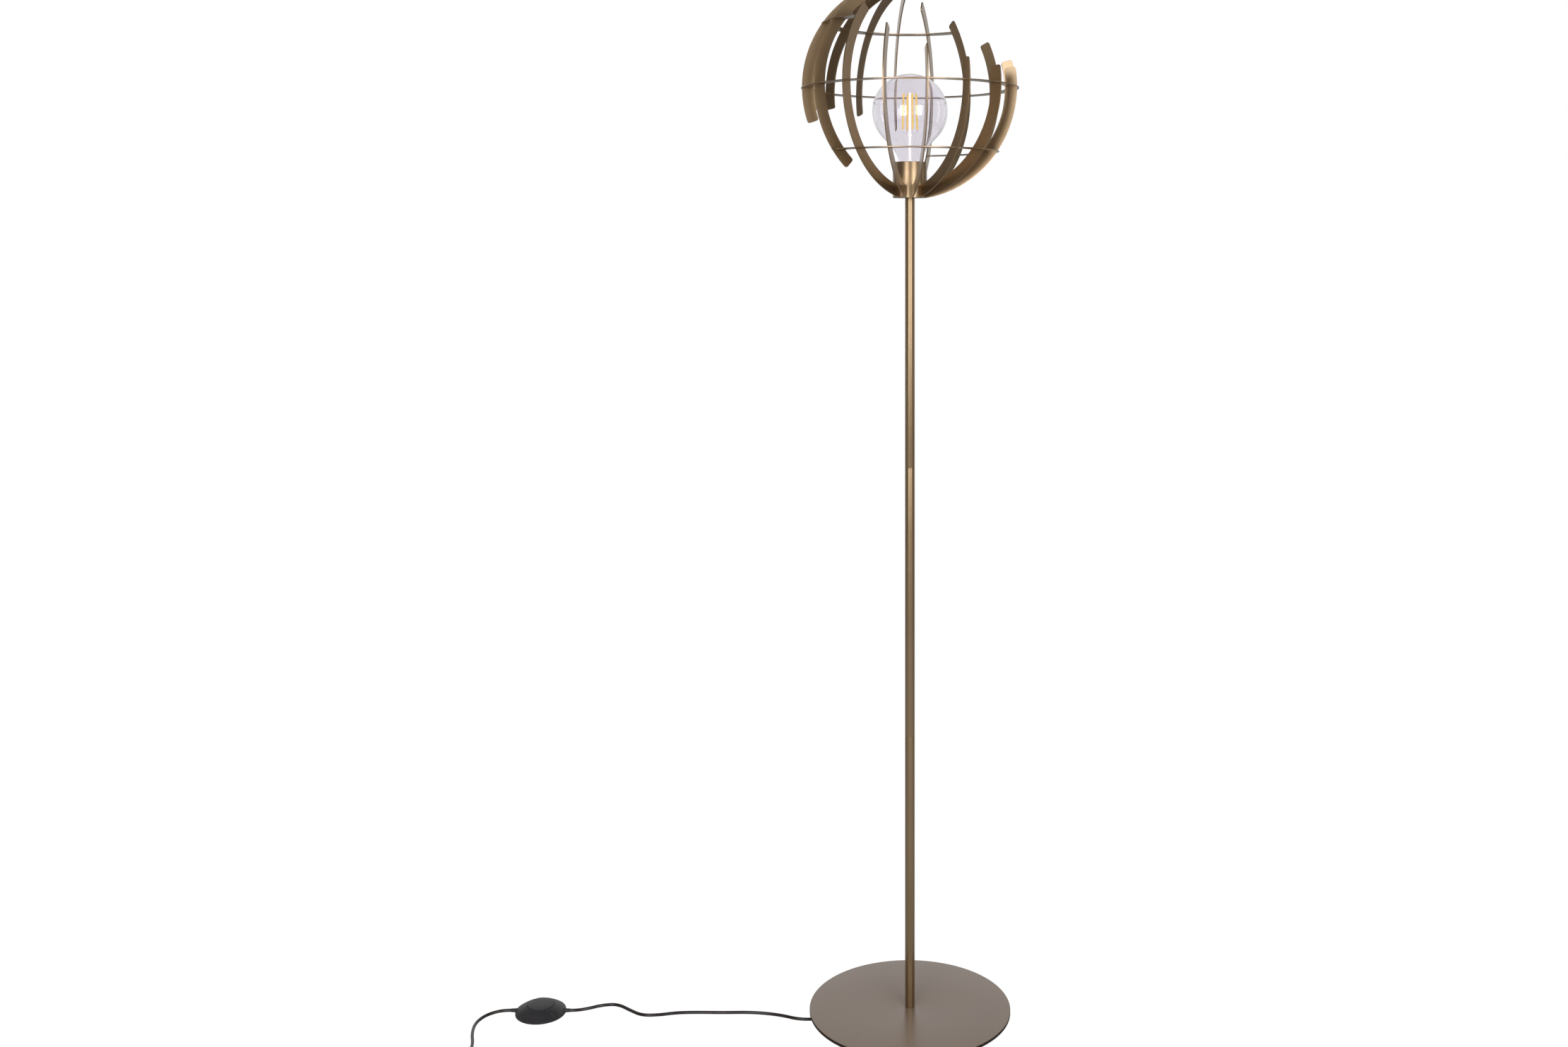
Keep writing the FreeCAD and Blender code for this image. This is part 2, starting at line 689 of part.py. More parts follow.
def bulb_contact():
    edge = 0.7
    return turned(
        (0, CONE_BOTTOM),
        (0, TIP_BOTTOM),
        (TIP_RADIUS - edge, TIP_BOTTOM),
        (on_circle((TIP_RADIUS - edge, TIP_BOTTOM + edge), edge, -45), (TIP_RADIUS, TIP_BOTTOM + edge)),
        (TIP_RADIUS, CONE_BOTTOM),
    )


def filament_levels():
    low = GLOBE_CENTRE - FILAMENT_DROP
    return low, low + FILAMENT_LENGTH


def bulb_stem():
    """The glass stem: a flared foot in the neck, a bead, and a rod up between the filaments."""
    low, high = filament_levels()
    foot = CAP_RADIUS - CAP_WALL - PLAY - GLASS_WALL - 2 * PLAY
    bead = low - 6
    flare = CAP_TOP + 12
    return turned(
        (0, CAP_TOP - 1),
        (foot, CAP_TOP - 1),
        (foot - 0.5, CAP_TOP + 0.5),
        ((STEM_RADIUS + 3, CAP_TOP + 4), (STEM_RADIUS, flare)),
        (STEM_RADIUS, bead - 4),
        ((STEM_BEAD, bead), (STEM_RADIUS, bead + 4)),
        (STEM_RADIUS, high + SUPPORT_RADIUS),
        (0, high + SUPPORT_RADIUS),
    )


def bulb_filaments():
    low, high = filament_levels()
    rod = cylinder(FILAMENT_RADIUS, low, high, FILAMENT_RING)
    return ring_of(FILAMENT_COUNT, FILAMENT_TURN - 90, rod)


def bulb_frame():
    """The fine wires that carry the filaments' ends, from the stem outwards."""
    low, high = filament_levels()
    spokes = []
    for z in (low - SUPPORT_RADIUS, high + SUPPORT_RADIUS):
        inner = STEM_RADIUS if z > low else STEM_RADIUS + PLAY
        length = FILAMENT_RING + FILAMENT_RADIUS - inner
        spoke = Part.makeCylinder(SUPPORT_RADIUS, length, Vec(inner, 0, z), Vec(1, 0, 0))
        spokes += ring_of(FILAMENT_COUNT, FILAMENT_TURN - 90, spoke)
    return spokes


# ---- foot switch ------------------------------------------------------------
def at_switch(shape):
    return shift(shape, SWITCH_X, SWITCH_Y)


def post_places():
    return [on_circle((0, 0), POST_RING, 30 + 360.0 / POST_COUNT * k) for k in range(POST_COUNT)]


def cover_line(inset):
    """The cover's upper line from the rim to the button's hole."""
    rim = (SWITCH_RADIUS - inset, SWITCH_RIM - inset / 2)
    mouth = (BUTTON_RADIUS + SOFT_GAP, SWITCH_SHOULDER - inset)
    crown = ((rim[0] + mouth[0]) / 2, (rim[1] + mouth[1]) / 2 + 0.8)
    return rim, crown, mouth


def relief_holes():
    """The round way through the switch for both sleeves."""
    ways = []
    for side in (1, -1):
        start = Vec(side * (SWITCH_RADIUS - RELIEF_SEAT), 0, RELIEF_HEIGHT)
        ways.append(Part.makeCylinder(RELIEF_ROOT + PLAY, RELIEF_SEAT + 1, start, Vec(side, 0, 0)))
    return Part.makeCompound(ways)


def switch_cover():
    """A low dome with a collar round the button and three screw posts inside."""
    rim, crown, mouth = cover_line(0)
    inner_rim, inner_crown, inner_mouth = cover_line(SWITCH_WALL)
    collar = mouth[0] + SWITCH_WALL
    collar_foot = SWITCH_SHOULDER - COLLAR_HEIGHT
    shell = turned(
        (inner_rim[0], 0),
        (rim[0], 0),
        rim,
        (crown, mouth),
        (mouth[0], collar_foot),
        (collar, collar_foot),
        (collar, inner_mouth[1] - 0.6),
        (inner_crown, inner_rim),
    )
    for x, y in post_places():
        post = cylinder(POST_RADIUS, SWITCH_FLOOR, SWITCH_SHOULDER / 2, x, y)
        hole = cylinder(SCREW_RADIUS + PLAY, 0, SWITCH_SHOULDER / 2 - 1, x, y)
        shell = shell.fuse(post).cut(hole)
    return at_switch(shell.cut(relief_holes()).removeSplitter())


def switch_base():
    disc = cylinder(SWITCH_RADIUS - SWITCH_WALL - PLAY, 0, SWITCH_FLOOR)
    for x, y in post_places():
        disc = disc.cut(cylinder(SCREW_RADIUS + PLAY, -1, SWITCH_FLOOR + 1, x, y))
        disc = disc.cut(cylinder(SCREW_HEAD + PLAY, -1, SCREW_HEAD_DEPTH, x, y))
    return at_switch(disc.cut(relief_holes()))


def switch_screws():
    top = SWITCH_SHOULDER / 2 - 1 - SOFT_GAP
    screws = []
    for x, y in post_places():
        shank = cylinder(SCREW_RADIUS, SOFT_GAP, top, x, y)
        head = cylinder(SCREW_HEAD, SOFT_GAP, SCREW_HEAD_DEPTH, x, y)
        screws.append(at_switch(shank.fuse(head)))
    return screws


def switch_button():
    """A shallow cap with a skirt, a flange that holds it under the collar, and a plunger."""
    under = BUTTON_EDGE - BUTTON_WALL
    collar_foot = SWITCH_SHOULDER - COLLAR_HEIGHT
    flange_top = collar_foot - SOFT_GAP
    flange = BUTTON_RADIUS + FLANGE_WIDTH
    foot = flange_top - FLANGE_THICK
    skirt = BUTTON_RADIUS - BUTTON_WALL
    edge = 0.6
    round_at = (BUTTON_RADIUS - edge, BUTTON_EDGE - edge)
    half_way = (BUTTON_RADIUS / 2, BUTTON_CROWN - (BUTTON_CROWN - BUTTON_EDGE) * 0.27)
    return at_switch(
        turned(
            (0, BUTTON_CROWN),
            (half_way, (round_at[0], BUTTON_EDGE)),
            (on_circle(round_at, edge, 45), (BUTTON_RADIUS, round_at[1])),
            (BUTTON_RADIUS, flange_top),
            (flange, flange_top),
            (flange, foot),
            (skirt, foot),
            (skirt, under),
            (PLUNGER_RADIUS, under),
            (PLUNGER_RADIUS, under - PLUNGER_LENGTH),
            (0, under - PLUNGER_LENGTH),
        )
    )


def switch_spring():
    """A coil spring round the plunger, from the switch's floor to the button."""
    low = SWITCH_FLOOR + SPRING_WIRE
    high = BUTTON_EDGE - BUTTON_WALL - SPRING_WIRE
    quarters = 4 * SPRING_TURNS
    climb = (high - low) / quarters
    slope = climb / (SPRING_RADIUS * math.pi / 2)
    stations = []
    for k in range(quarters + 1):
        a = k * math.pi / 2
        point = Vec(SPRING_RADIUS * math.cos(a), SPRING_RADIUS * math.sin(a), low + k * climb)
        stations.append((point, Vec(-math.sin(a), math.cos(a), slope).normalize()))
    edges = winding(stations)
    gap = least_gap(edges, SPRING_WIRE, math.pi * SPRING_RADIUS)
    print(f"switch_spring: least gap between turns {gap:.2f}")
    return at_switch(pipe(edges, SPRING_WIRE, "switch_spring"))


def switch_block():
    """The contact block round the spring."""
    half, top = BLOCK_LENGTH / 2, SWITCH_FLOOR + BLOCK_DEPTH
    body = block((-half, half), (-BLOCK_WIDTH / 2, BLOCK_WIDTH / 2), (SWITCH_FLOOR, top))
    well = cylinder(SPRING_RADIUS + SPRING_WIRE + 1.4, SWITCH_FLOOR - 1, top + 1)
    return at_switch(body.cut(well))


def switch_contacts():
    top = SWITCH_FLOOR + BLOCK_DEPTH
    strip = block((9, BLOCK_LENGTH / 2 - 2), (-3, 3), (top, top + STRIP_THICK))
    return [at_switch(turn(strip, a)) for a in (0, 180)]


def switch_reliefs():
    """Rubber sleeves on both sides: a straight seat in the cover, then a taper."""
    reliefs = []
    for side in (1, -1):
        way, edge = Vec(side, 0, 0), SWITCH_RADIUS
        seat = Part.makeCylinder(RELIEF_ROOT, RELIEF_SEAT, way * (edge - RELIEF_SEAT), way)
        taper = Part.makeCone(RELIEF_ROOT, RELIEF_TIP, RELIEF_LENGTH, way * edge, way)
        reliefs.append(at_switch(shift(seat.fuse(taper), z=RELIEF_HEIGHT)))
    return reliefs


def switch_wires():
    """The cord's two wires on each side, from the sleeve into the block."""
    wires = []
    for side in (1, -1):
        for y in (-WIRE_OFFSET, WIRE_OFFSET):
            start = Vec(side * BLOCK_LENGTH / 2, y, BLOCK_WIRE_HEIGHT)
            length = SWITCH_RADIUS - RELIEF_SEAT - BLOCK_LENGTH / 2
            wire = Part.makeCylinder(SWITCH_WIRE, length, start, Vec(side, 0, 0))
            wires.append(at_switch(wire))
    return wires


# ---- cord -------------------------------------------------------------------
FLOOR = CORD_RADIUS  # height of a cord's centre where it lies on the floor
RELIEF_REACH = SWITCH_RADIUS + RELIEF_LENGTH

LAMP_SIDE = [
    (-(CLAMP_NEAR + CLAMP_LENGTH), 0, CLAMP_CORD_HEIGHT),
    (-60, 0, CLAMP_CORD_HEIGHT),
    (-102, -9, FLOOR),
    (-142, -24, FLOOR),
    (-180, -29, FLOOR),
    (-216, -12, FLOOR),
    (-262, -3.5, FLOOR),
    (-310, -5, FLOOR),
    (-350, -3.8, FLOOR),
    (-386, -5, FLOOR),
    (-416, -13, FLOOR),
    (-444, -14, FLOOR),
    (-465, 2.5, FLOOR),
    (-489, 23.5, FLOOR),
    (-514, 21, FLOOR),
    (-536, 8.1, 3.0),
    (-553.5, SWITCH_Y, RELIEF_HEIGHT),
    (SWITCH_X + RELIEF_REACH, SWITCH_Y, RELIEF_HEIGHT),
]

PLUG_SIDE = [
    (SWITCH_X - RELIEF_REACH, SWITCH_Y, RELIEF_HEIGHT),
    (-675.5, SWITCH_Y, RELIEF_HEIGHT),
    (-692, -6, 2.9),
    (-705, -19, FLOOR),
    (-712.5, -42, FLOOR),
    (-709, -74, FLOOR),
    (-699, -106, FLOOR),
    (-697, -134, FLOOR),
    (COIL_X - COIL_OUTER, -158, COIL_LOW),
    (COIL_X - COIL_OUTER, COIL_Y + 2 * CORD_RADIUS, COIL_LOW),
]


def cord_lamp_side():
    return cord_along(LAMP_SIDE, "cord_lamp_side")


def cord_plug_side():
    return cord_along(PLUG_SIDE, "cord_plug_side")


def coil_stations():
    """Quarter-turn stations: in at a steady rate below, up a layer, and out again above."""
    quarters = round(4 * (COIL_TURNS_IN + COIL_TURNS_OUT))
    turning = round(4 * COIL_TURNS_IN)
    rate = COIL_PITCH / (2 * math.pi)
    stations = []
    for k in range(quarters + 1):
        turns = (k - turning) / 4
        radius = COIL_INNER + COIL_PITCH * abs(turns)
        side = (turns > 0) - (turns < 0)
        if abs(k - turning) < 1:
            height, climb = (COIL_LOW + COIL_HIGH) / 2, 1.3 * COIL_PITCH / math.pi
        else:
            height, climb = (COIL_HIGH if turns > 0 else COIL_LOW), 0.0
        a = math.radians(COIL_START) + k * math.pi / 2
        outward, onward = Vec(math.cos(a), math.sin(a), 0), Vec(-math.sin(a), math.cos(a), 0)
        point = Vec(COIL_X, COIL_Y, height) + outward * radius
        radial = side * rate if 0 < k < quarters else 0.0
        direction = onward * radius + outward * radial + Vec(0, 0, climb)
        stations.append((point, direction.normalize()))
    return stations


def coil_end():
    """The last point of the coil's turns, where the straight end starts."""
    return coil_stations()[-1][0]


def cord_coil():
    stations = coil_stations()
    turns = winding(stations)
    straight = 2 * CORD_RADIUS
    (first, out), (last, into) = stations[0], stations[-1]
    lead_in = Part.LineSegment(first - out * straight, first).toShape()
    lead_out = Part.LineSegment(last, last + into * straight).toShape()
    edges = [lead_in, *turns, lead_out]
    gap = least_gap(edges, CORD_RADIUS, math.pi * COIL_INNER)
    print(f"cord_coil: least gap between turns {gap:.2f}")
    return pipe(edges, CORD_RADIUS, "cord_coil")


def cord_tie():
    """A flat band round all the turns at one place."""
    inner = COIL_INNER - CORD_RADIUS - SOFT_GAP
    outer = COIL_INNER + max(COIL_TURNS_IN, COIL_TURNS_OUT) * COIL_PITCH + CORD_RADIUS + SOFT_GAP
    top = COIL_HIGH + CORD_RADIUS + SOFT_GAP
    side = (-TIE_WIDTH / 2, TIE_WIDTH / 2)
    band = block((inner - TIE_THICK, outer + TIE_THICK), side, (0, top + TIE_THICK))
    band = band.makeFillet(2.0, [e for e in band.Edges if e.BoundBox.YLength > TIE_WIDTH / 2])
    band = band.cut(block((inner, outer), (-TIE_WIDTH, TIE_WIDTH), (TIE_THICK, top)))
    return shift(turn(band, TIE_AZIMUTH), COIL_X, COIL_Y)


# ---- plug -------------------------------------------------------------------
def plug_start():
    end, straight = coil_end(), 2 * CORD_RADIUS
    return end.x + straight, end.y, end.z


def plug_body():
    """A flat moulded body with rounded sides, and a tapered relief where the cord enters."""
    x, y, z = plug_start()
    nose = Part.makeCone(RELIEF_TIP, RELIEF_ROOT + 1.4, PLUG_NOSE, Vec(x, y, z), Vec(1, 0, 0))
    back, front = x + PLUG_NOSE - 2, x + PLUG_NOSE + PLUG_LENGTH
    half_wide, half_thick = PLUG_WIDTH / 2, PLUG_THICK / 2
    sides = [Vec(back, y - 9, z - half_thick), Vec(back + 12, y - half_wide, z - half_thick)]
    sides += [Vec(front, y - half_wide, z - half_thick), Vec(front, y + half_wide, z - half_thick)]
    sides += [Vec(back + 12, y + half_wide, z - half_thick), Vec(back, y + 9, z - half_thick)]
    body = Part.Face(Part.makePolygon([*sides, sides[0]])).extrude(Vec(0, 0, PLUG_THICK))
    long_edges = [e for e in body.Edges if e.BoundBox.ZLength < 0.1 and e.BoundBox.XLength > 1]
    body = body.makeFillet(half_thick * 0.6, long_edges)
    return body.fuse(nose).removeSplitter()


def plug_pins():
    x, y, z = plug_start()
    front = x + PLUG_NOSE + PLUG_LENGTH
    pins = []
    for side in (-1, 1):
        at = Vec(front, y + side * PIN_SPAN / 2, z)
        pin = Part.makeCylinder(PIN_RADIUS, PIN_LENGTH, at, Vec(1, 0, 0))
        tip = [e for e in pin.Edges if e.BoundBox.XMin > front + PIN_LENGTH - 0.1]
        pins.append(pin.makeFillet(PIN_RADIUS * 0.8, tip))
    return pins


# ---- writing ----------------------------------------------------------------
PIECES = {
    "base_plate": base_plate,
    "base_feet": base_feet,
    "cord_clamp": cord_clamp,
    "clamp_screws": clamp_screws,
    "pole_lower": lambda: pole_section(0),
    "pole_middle": lambda: pole_section(1),
    "pole_upper": lambda: pole_section(2),
    "pole_inserts": pole_inserts,
    "threaded_nipples": threaded_nipples,
    "pole_wires": pole_wires,
    "socket_cup": socket_cup,
    "cup_washer": cup_washer,
    "cup_nut": cup_nut,
    "lampholder_cap": lampholder_cap,
    "lampholder_skirt": lampholder_skirt,
    "lampholder_block": lampholder_block,
    "lampholder_liner": lampholder_liner,
    "centre_contact": centre_contact,
    "crown_hub": crown_hub,
    "bulb_glass": bulb_glass,
    "bulb_cap": bulb_cap,
    "bulb_insulator": bulb_insulator,
    "bulb_contact": bulb_contact,
    "bulb_stem": bulb_stem,
    "bulb_filaments": bulb_filaments,
    "bulb_frame": bulb_frame,
    "switch_base": switch_base,
    "switch_cover": switch_cover,
    "switch_button": switch_button,
    "switch_spring": switch_spring,
    "switch_block": switch_block,
    "switch_contacts": switch_contacts,
    "switch_screws": switch_screws,
    "switch_reliefs": switch_reliefs,
    "switch_wires": switch_wires,
    "cord_lamp_side": cord_lamp_side,
    "cord_plug_side": cord_plug_side,
    "cord_coil": cord_coil,
    "cord_tie": cord_tie,
    "plug_body": plug_body,
    "plug_pins": plug_pins,
}
for index in range(len(RIBS)):
    PIECES[f"rib_{index + 1:02d}"] = lambda index=index: rib(index)
for name in RING_HEIGHTS:
    PIECES[f"ring_{name}"] = lambda name=name: ring(name)


def main():
    os.makedirs("parts", exist_ok=True)
    for name, make in PIECES.items():
        made = make()
        shape = Part.makeCompound(made) if isinstance(made, list) else made
        solids = len(shape.Solids)
        if not shape.isValid() or not solids:
            print(f"{name}: not a valid solid")
        if not isinstance(made, list) and solids != 1:
            print(f"{name}: {solids} solids where one is meant")
        shape.exportStep(f"parts/{name}.step")
    top = CAGE_CENTRE + RIB_OUTER
    print(f"{len(PIECES)} nodes, top of the cage {top:.1f}, globe centre {GLOBE_CENTRE:.1f}")


main()
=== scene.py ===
import functools
from math import asin, copysign, cos, degrees, pi, radians, sin, sqrt

import bmesh
import bpy
from mathutils import Matrix, Vector


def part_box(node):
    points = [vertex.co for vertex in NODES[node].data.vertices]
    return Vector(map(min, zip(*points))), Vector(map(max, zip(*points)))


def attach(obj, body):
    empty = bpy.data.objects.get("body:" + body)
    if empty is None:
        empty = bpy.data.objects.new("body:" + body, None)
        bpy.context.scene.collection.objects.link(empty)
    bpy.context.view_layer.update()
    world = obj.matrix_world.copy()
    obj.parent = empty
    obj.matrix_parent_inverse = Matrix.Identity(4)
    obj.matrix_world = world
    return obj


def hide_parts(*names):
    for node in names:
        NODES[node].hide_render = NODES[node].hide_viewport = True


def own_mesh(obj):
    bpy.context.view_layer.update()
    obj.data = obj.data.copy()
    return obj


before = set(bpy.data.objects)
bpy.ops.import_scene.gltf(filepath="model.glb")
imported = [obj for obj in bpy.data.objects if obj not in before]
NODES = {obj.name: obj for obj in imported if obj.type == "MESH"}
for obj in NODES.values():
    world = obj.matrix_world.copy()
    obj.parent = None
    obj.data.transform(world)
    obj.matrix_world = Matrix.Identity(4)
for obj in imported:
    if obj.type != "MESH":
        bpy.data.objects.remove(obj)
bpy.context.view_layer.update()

bl_info = {
    "name": "Cage floor lamp",
    "version": (1, 0, 0),
    "blender": (4, 5, 0),
    "location": "3D View > Sidebar > Cage lamp",
    "description": "Dresses a floor lamp that has a ball-shaped cage of flat ribs and rings",
    "category": "Object",
}

LAMP, BULB, BUTTON = "lamp", "bulb", "button"
MM = 0.001
TURN = 2 * pi


def span(node):
    """A node's low and high corners at rest."""
    low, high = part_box(node)
    return Vector(low), Vector(high)


def width(node):
    low, high = span(node)
    return high.x - low.x


def middle(node):
    low, high = span(node)
    return (low + high) / 2


def levels(node):
    """The heights of a node's bottom and top."""
    low, high = span(node)
    return low.z, high.z


# ---- fixed sizes, and places that follow from the CAD ----
NIPPLE_RADIUS = width("threaded_nipples") / 2
TUBE_EDGE = 0.25 * MM
CUP_RADIUS = width("socket_cup") / 2
CUP_WALL = 1.2 * MM
CUP_EDGE = 0.5 * MM
HUB_RADIUS = width("crown_hub") / 2

CAGE_RADIUS = 180 * MM  # outside of the ribs at the equator
ARC_OFFSET = 5 * MM  # the ribs' arcs are centred this far past the axis
RIB_WIDTH = 19 * MM
RIB_THICK = 2 * MM
RIB_CORNER = 4 * MM
RIB_FIRST = -59.5  # azimuth of the first rib, from the front towards the right
RING_THICK = 1.5 * MM
RING_PROUD = 1 * MM  # rings stand out past the ribs
RIB_OUTER = CAGE_RADIUS + ARC_OFFSET
RIB_INNER = RIB_OUTER - RIB_WIDTH
CAGE_CENTRE = levels("socket_cup")[0] + sqrt(RIB_OUTER**2 - (CUP_RADIUS + ARC_OFFSET) ** 2)

# Where each rib ends, in degrees above the equator on its own arc. RISE ribs
# stand on the cup, HANG ribs hang from the crown hub.
RISE, HANG = -1, 1
RIBS = [(HANG, -47.0)]
RIBS += [(RISE, tip) for tip in (45.0, 29.5, 17.5, 11.5, 9.0, 10.0, 16.0, 28.5, 44.0, 59.0)]
RIBS += [(HANG, tip) for tip in (-19.5, -11.0, -8.5, -11.0, -19.0)]

GLASS_LOW, GLASS_HIGH = levels("bulb_glass")
GLOBE_RADIUS = width("bulb_glass") / 2
GLOBE_CENTRE = GLASS_HIGH - GLOBE_RADIUS
SWELL_ANGLE = 44.0  # the globe stays round down to this far below its middle
NECK_RADIUS = 18.8 * MM
SHOULDER_HEIGHT = 5.6 * MM
CAP_LOW, CAP_HIGH = levels("bulb_cap")
CAP_RADIUS = width("bulb_cap") / 2
CAP_WALL = 0.4 * MM
CAP_LIP = 5 * MM  # plain band above the thread
CAP_SEAT = 0.5 * MM  # the glass sits this far inside the band
THREAD_DEPTH = 1.1 * MM
THREAD_PITCH = 3.63 * MM
CAP_SIDES = 96
STRIP_COUNT = 4
STRIP_FIRST = radians(20 - 90)  # direction of the first filament strip
STRIP_LOW, STRIP_HIGH = levels("bulb_filaments")
STRIP_RING = width("bulb_frame") / 2 - 1.1 * MM
TIP_LENGTH = 2.2 * MM  # bare metal at each end of a strip
TIP_SHARE = 0.55  # a bare end's thickness next to the strip's
STEM_RADIUS = 2.3 * MM
BEAD_RADIUS = 1.7 * STEM_RADIUS
HEAD_RADIUS = 0.9 * STEM_RADIUS  # of the stem above its bead
BEAD_HEIGHT = STRIP_LOW - 6 * MM

SWITCH_X, SWITCH_Y = middle("switch_cover").xy
SWITCH_TOP = levels("switch_cover")[1]
SWITCH_RADIUS = width("switch_cover") / 2
SWITCH_RIM = 3.2 * MM  # height of the upright rim
SWITCH_EDGE = 0.25 * MM
COVER_WALL = 1.8 * MM
COVER_BULGE = 0.8 * MM
MOUTH_DEPTH = 3.6 * MM  # the cover's wall reaches down round the button this far
BUTTON_LOW, BUTTON_HIGH = levels("switch_button")
FLANGE_RADIUS = width("switch_button") / 2
BUTTON_RADIUS = FLANGE_RADIUS - 2 * MM  # the flange stands out past the button
BUTTON_WALL = 2.0 * MM
BUTTON_GAP = 0.35 * MM
BUTTON_EDGE = 0.3 * MM
BUTTON_CROWN = 1.3 * MM
FLANGE_TOP = SWITCH_TOP - 3.9 * MM
FLANGE_THICK = 1.4 * MM
PLUNGER_RADIUS = 4.0 * MM
MARK_AZIMUTH = radians(-45)
MARK_RADIUS = 0.32 * MM
SPRING_WIRE = 0.4 * MM
SPRING_TURNS = 5
SPRING_STEPS = 12  # points in a turn

RELIEF_LOW, RELIEF_HIGH = span("switch_reliefs")
RELIEF_HEIGHT = middle("switch_reliefs").z


def on_floor(*points):
    """Points of the cord's middle where it lies on the floor."""
    return [(x, y, 2.5 * MM) for x, y in points]


LAMP_SIDE = [
    (span("cord_clamp")[0].x, 0, 0.0031),
    (-0.060, 0, 0.0031),
    *on_floor((-0.102, -0.009), (-0.142, -0.024), (-0.180, -0.029), (-0.216, -0.012)),
    *on_floor((-0.262, -0.0035), (-0.310, -0.005), (-0.350, -0.0038), (-0.386, -0.005)),
    *on_floor((-0.416, -0.013), (-0.444, -0.014), (-0.465, 0.0025), (-0.489, 0.0235)),
    *on_floor((-0.514, 0.021)),
    (-0.536, 0.0081, 0.003),
    (-0.5535, SWITCH_Y, RELIEF_HEIGHT),
    (RELIEF_HIGH.x, SWITCH_Y, RELIEF_HEIGHT),
]
PLUG_SIDE = [
    (RELIEF_LOW.x, SWITCH_Y, RELIEF_HEIGHT),
    (-0.6755, SWITCH_Y, RELIEF_HEIGHT),
    (-0.692, -0.006, 0.0029),
    *on_floor((-0.705, -0.019), (-0.7125, -0.042), (-0.709, -0.074)),
    *on_floor((-0.699, -0.106), (-0.697, -0.134)),
    (-0.7003, -0.158, 0.0034),
]
COIL_CENTRE = Vector((-0.664, -0.184, 0))
COIL_INNER = 19.5 * MM
COIL_PITCH = 5.6 * MM
COIL_TURNS_IN, COIL_TURNS_OUT = 3.0, 3.25
COIL_START = pi  # direction of the start, anticlockwise from +X
COIL_LOW = 3.4 * MM
COIL_STEPS = 16  # points in a turn
COIL_LEAD = 5 * MM  # straight cord before the first turn

TIE_AZIMUTH = radians(40)
TIE_WIDTH = 6 * MM
LAP_WIDTH = 0.96 * TIE_WIDTH
TIE_THICK = 0.6 * MM
TIE_ROUND = 3 * MM
CORD_ROOM = 2.6 * MM  # the cord's radius and a little air

PLUG_NOSE = 23 * MM  # ringed relief behind the body
PLUG_TAPER = 11 * MM
PLUG_FRONT = 5 * MM  # smooth part in front of the grips
PLUG_RINGS = 7
PLUG_GRIPS = 5
PLUG_SIDES = 72
RING_DEPTH = 0.35 * MM
GRIP_DEPTH = 0.7 * MM
NOSE_BACK, NOSE_FRONT = 2.7 * MM, 4.5 * MM  # the nose's radii
ROUND, BOXY = 2.0, 4.6  # how square a section is


# ---- sizes and colours that a user would change ----
def length(name, description, default):
    return bpy.props.FloatProperty(
        name=name, description=description, default=default, unit="LENGTH", precision=5
    )


def colour(name, description, default):
    return bpy.props.FloatVectorProperty(
        name=name, description=description, default=default, subtype="COLOR", size=3, min=0, max=1
    )


class CAGELAMP_PG_sizes(bpy.types.PropertyGroup):
    """Sizes of the lamp's finished pieces"""

    cut_edge: length("Cut edge", "Rounding of the ribs' and rings' edges", 0.25 * MM)
    base_edge: length("Base edge", "Rounding of the base's rim", 0.6 * MM)
    glass_wall: length("Glass wall", "Thickness of the globe's glass", 0.8 * MM)
    strip_radius: length("Strip radius", "Radius of a filament strip", 1.75 * MM)
    strip_lean: length("Strip lean", "How much wider the strips stand at their feet", 1.8 * MM)
    support_radius: length("Support radius", "Radius of the wires that hold the strips", 0.28 * MM)
    cord_diameter: length("Cord diameter", "Outside of the mains cord", 5 * MM)


class CAGELAMP_PG_finish(bpy.types.PropertyGroup):
    """Colours of the lamp's finishes"""

    brass: colour("Brass paint", "Satin brass of the metalwork", (0.348, 0.238, 0.13))
    # rim: painted shade, a dark tone for the base's rim, which is the same paint as the top but
    # lies in shade
    rim: colour("Base rim", "Painted shade on the base's rim", (0.075, 0.056, 0.048))
    brass_deep: colour("Brass shade", "Darker tone in the satin brass", (0.318, 0.214, 0.113))
    # Pale tone for tops that face up: partly dusty, partly painted light, the sheen of a top lit
    # from above.
    dust: colour("Dust", "Fine dust on surfaces that face up", (0.168, 0.126, 0.109))
    steel: colour("Zinc steel", "Plated threads, nuts and screws", (0.55, 0.55, 0.54))
    cord: colour("Cord", "Dark brown cord sheath", (0.022, 0.016, 0.014))
    plastic: colour("Switch plastic", "Dark moulded plastic", (0.03, 0.028, 0.031))
    glass: colour("Globe glass", "Faint tint of the globe", (0.85, 0.825, 0.865))
    # Painted reflection: the globe's lighter tint where it is seen edge on.
    glass_rim: colour("Globe rim", "Tint of the globe where it is seen edge on", (0.93, 0.92, 0.95))
    phosphor: colour("Filament coating", "Yellow coating of the strips", (1.0, 0.66, 0.17))
    floor: colour("Floor", "Plain pale floor", (0.52, 0.52, 0.52))


def sizes():
    return bpy.context.scene.cage_lamp_sizes


def finish_colours():
    return bpy.context.scene.cage_lamp_finish


def put(thing, **settings):
    """Sets some of a thing's properties, and returns it."""
    for key, value in settings.items():
        setattr(thing, key, value)
    return thing


# ---- node trees ----
class Term:
    """A value in a node tree that takes Python's own arithmetic."""

    def __init__(self, graph, socket):
        self.graph, self.socket = graph, socket

    def __add__(self, other):
        return self.graph.math("ADD", self, other)

    def __sub__(self, other):
        return self.graph.math("SUBTRACT", self, other)

    def __mul__(self, other):
        return self.graph.math("MULTIPLY", self, other)

    def __truediv__(self, other):
        return self.graph.math("DIVIDE", self, other)


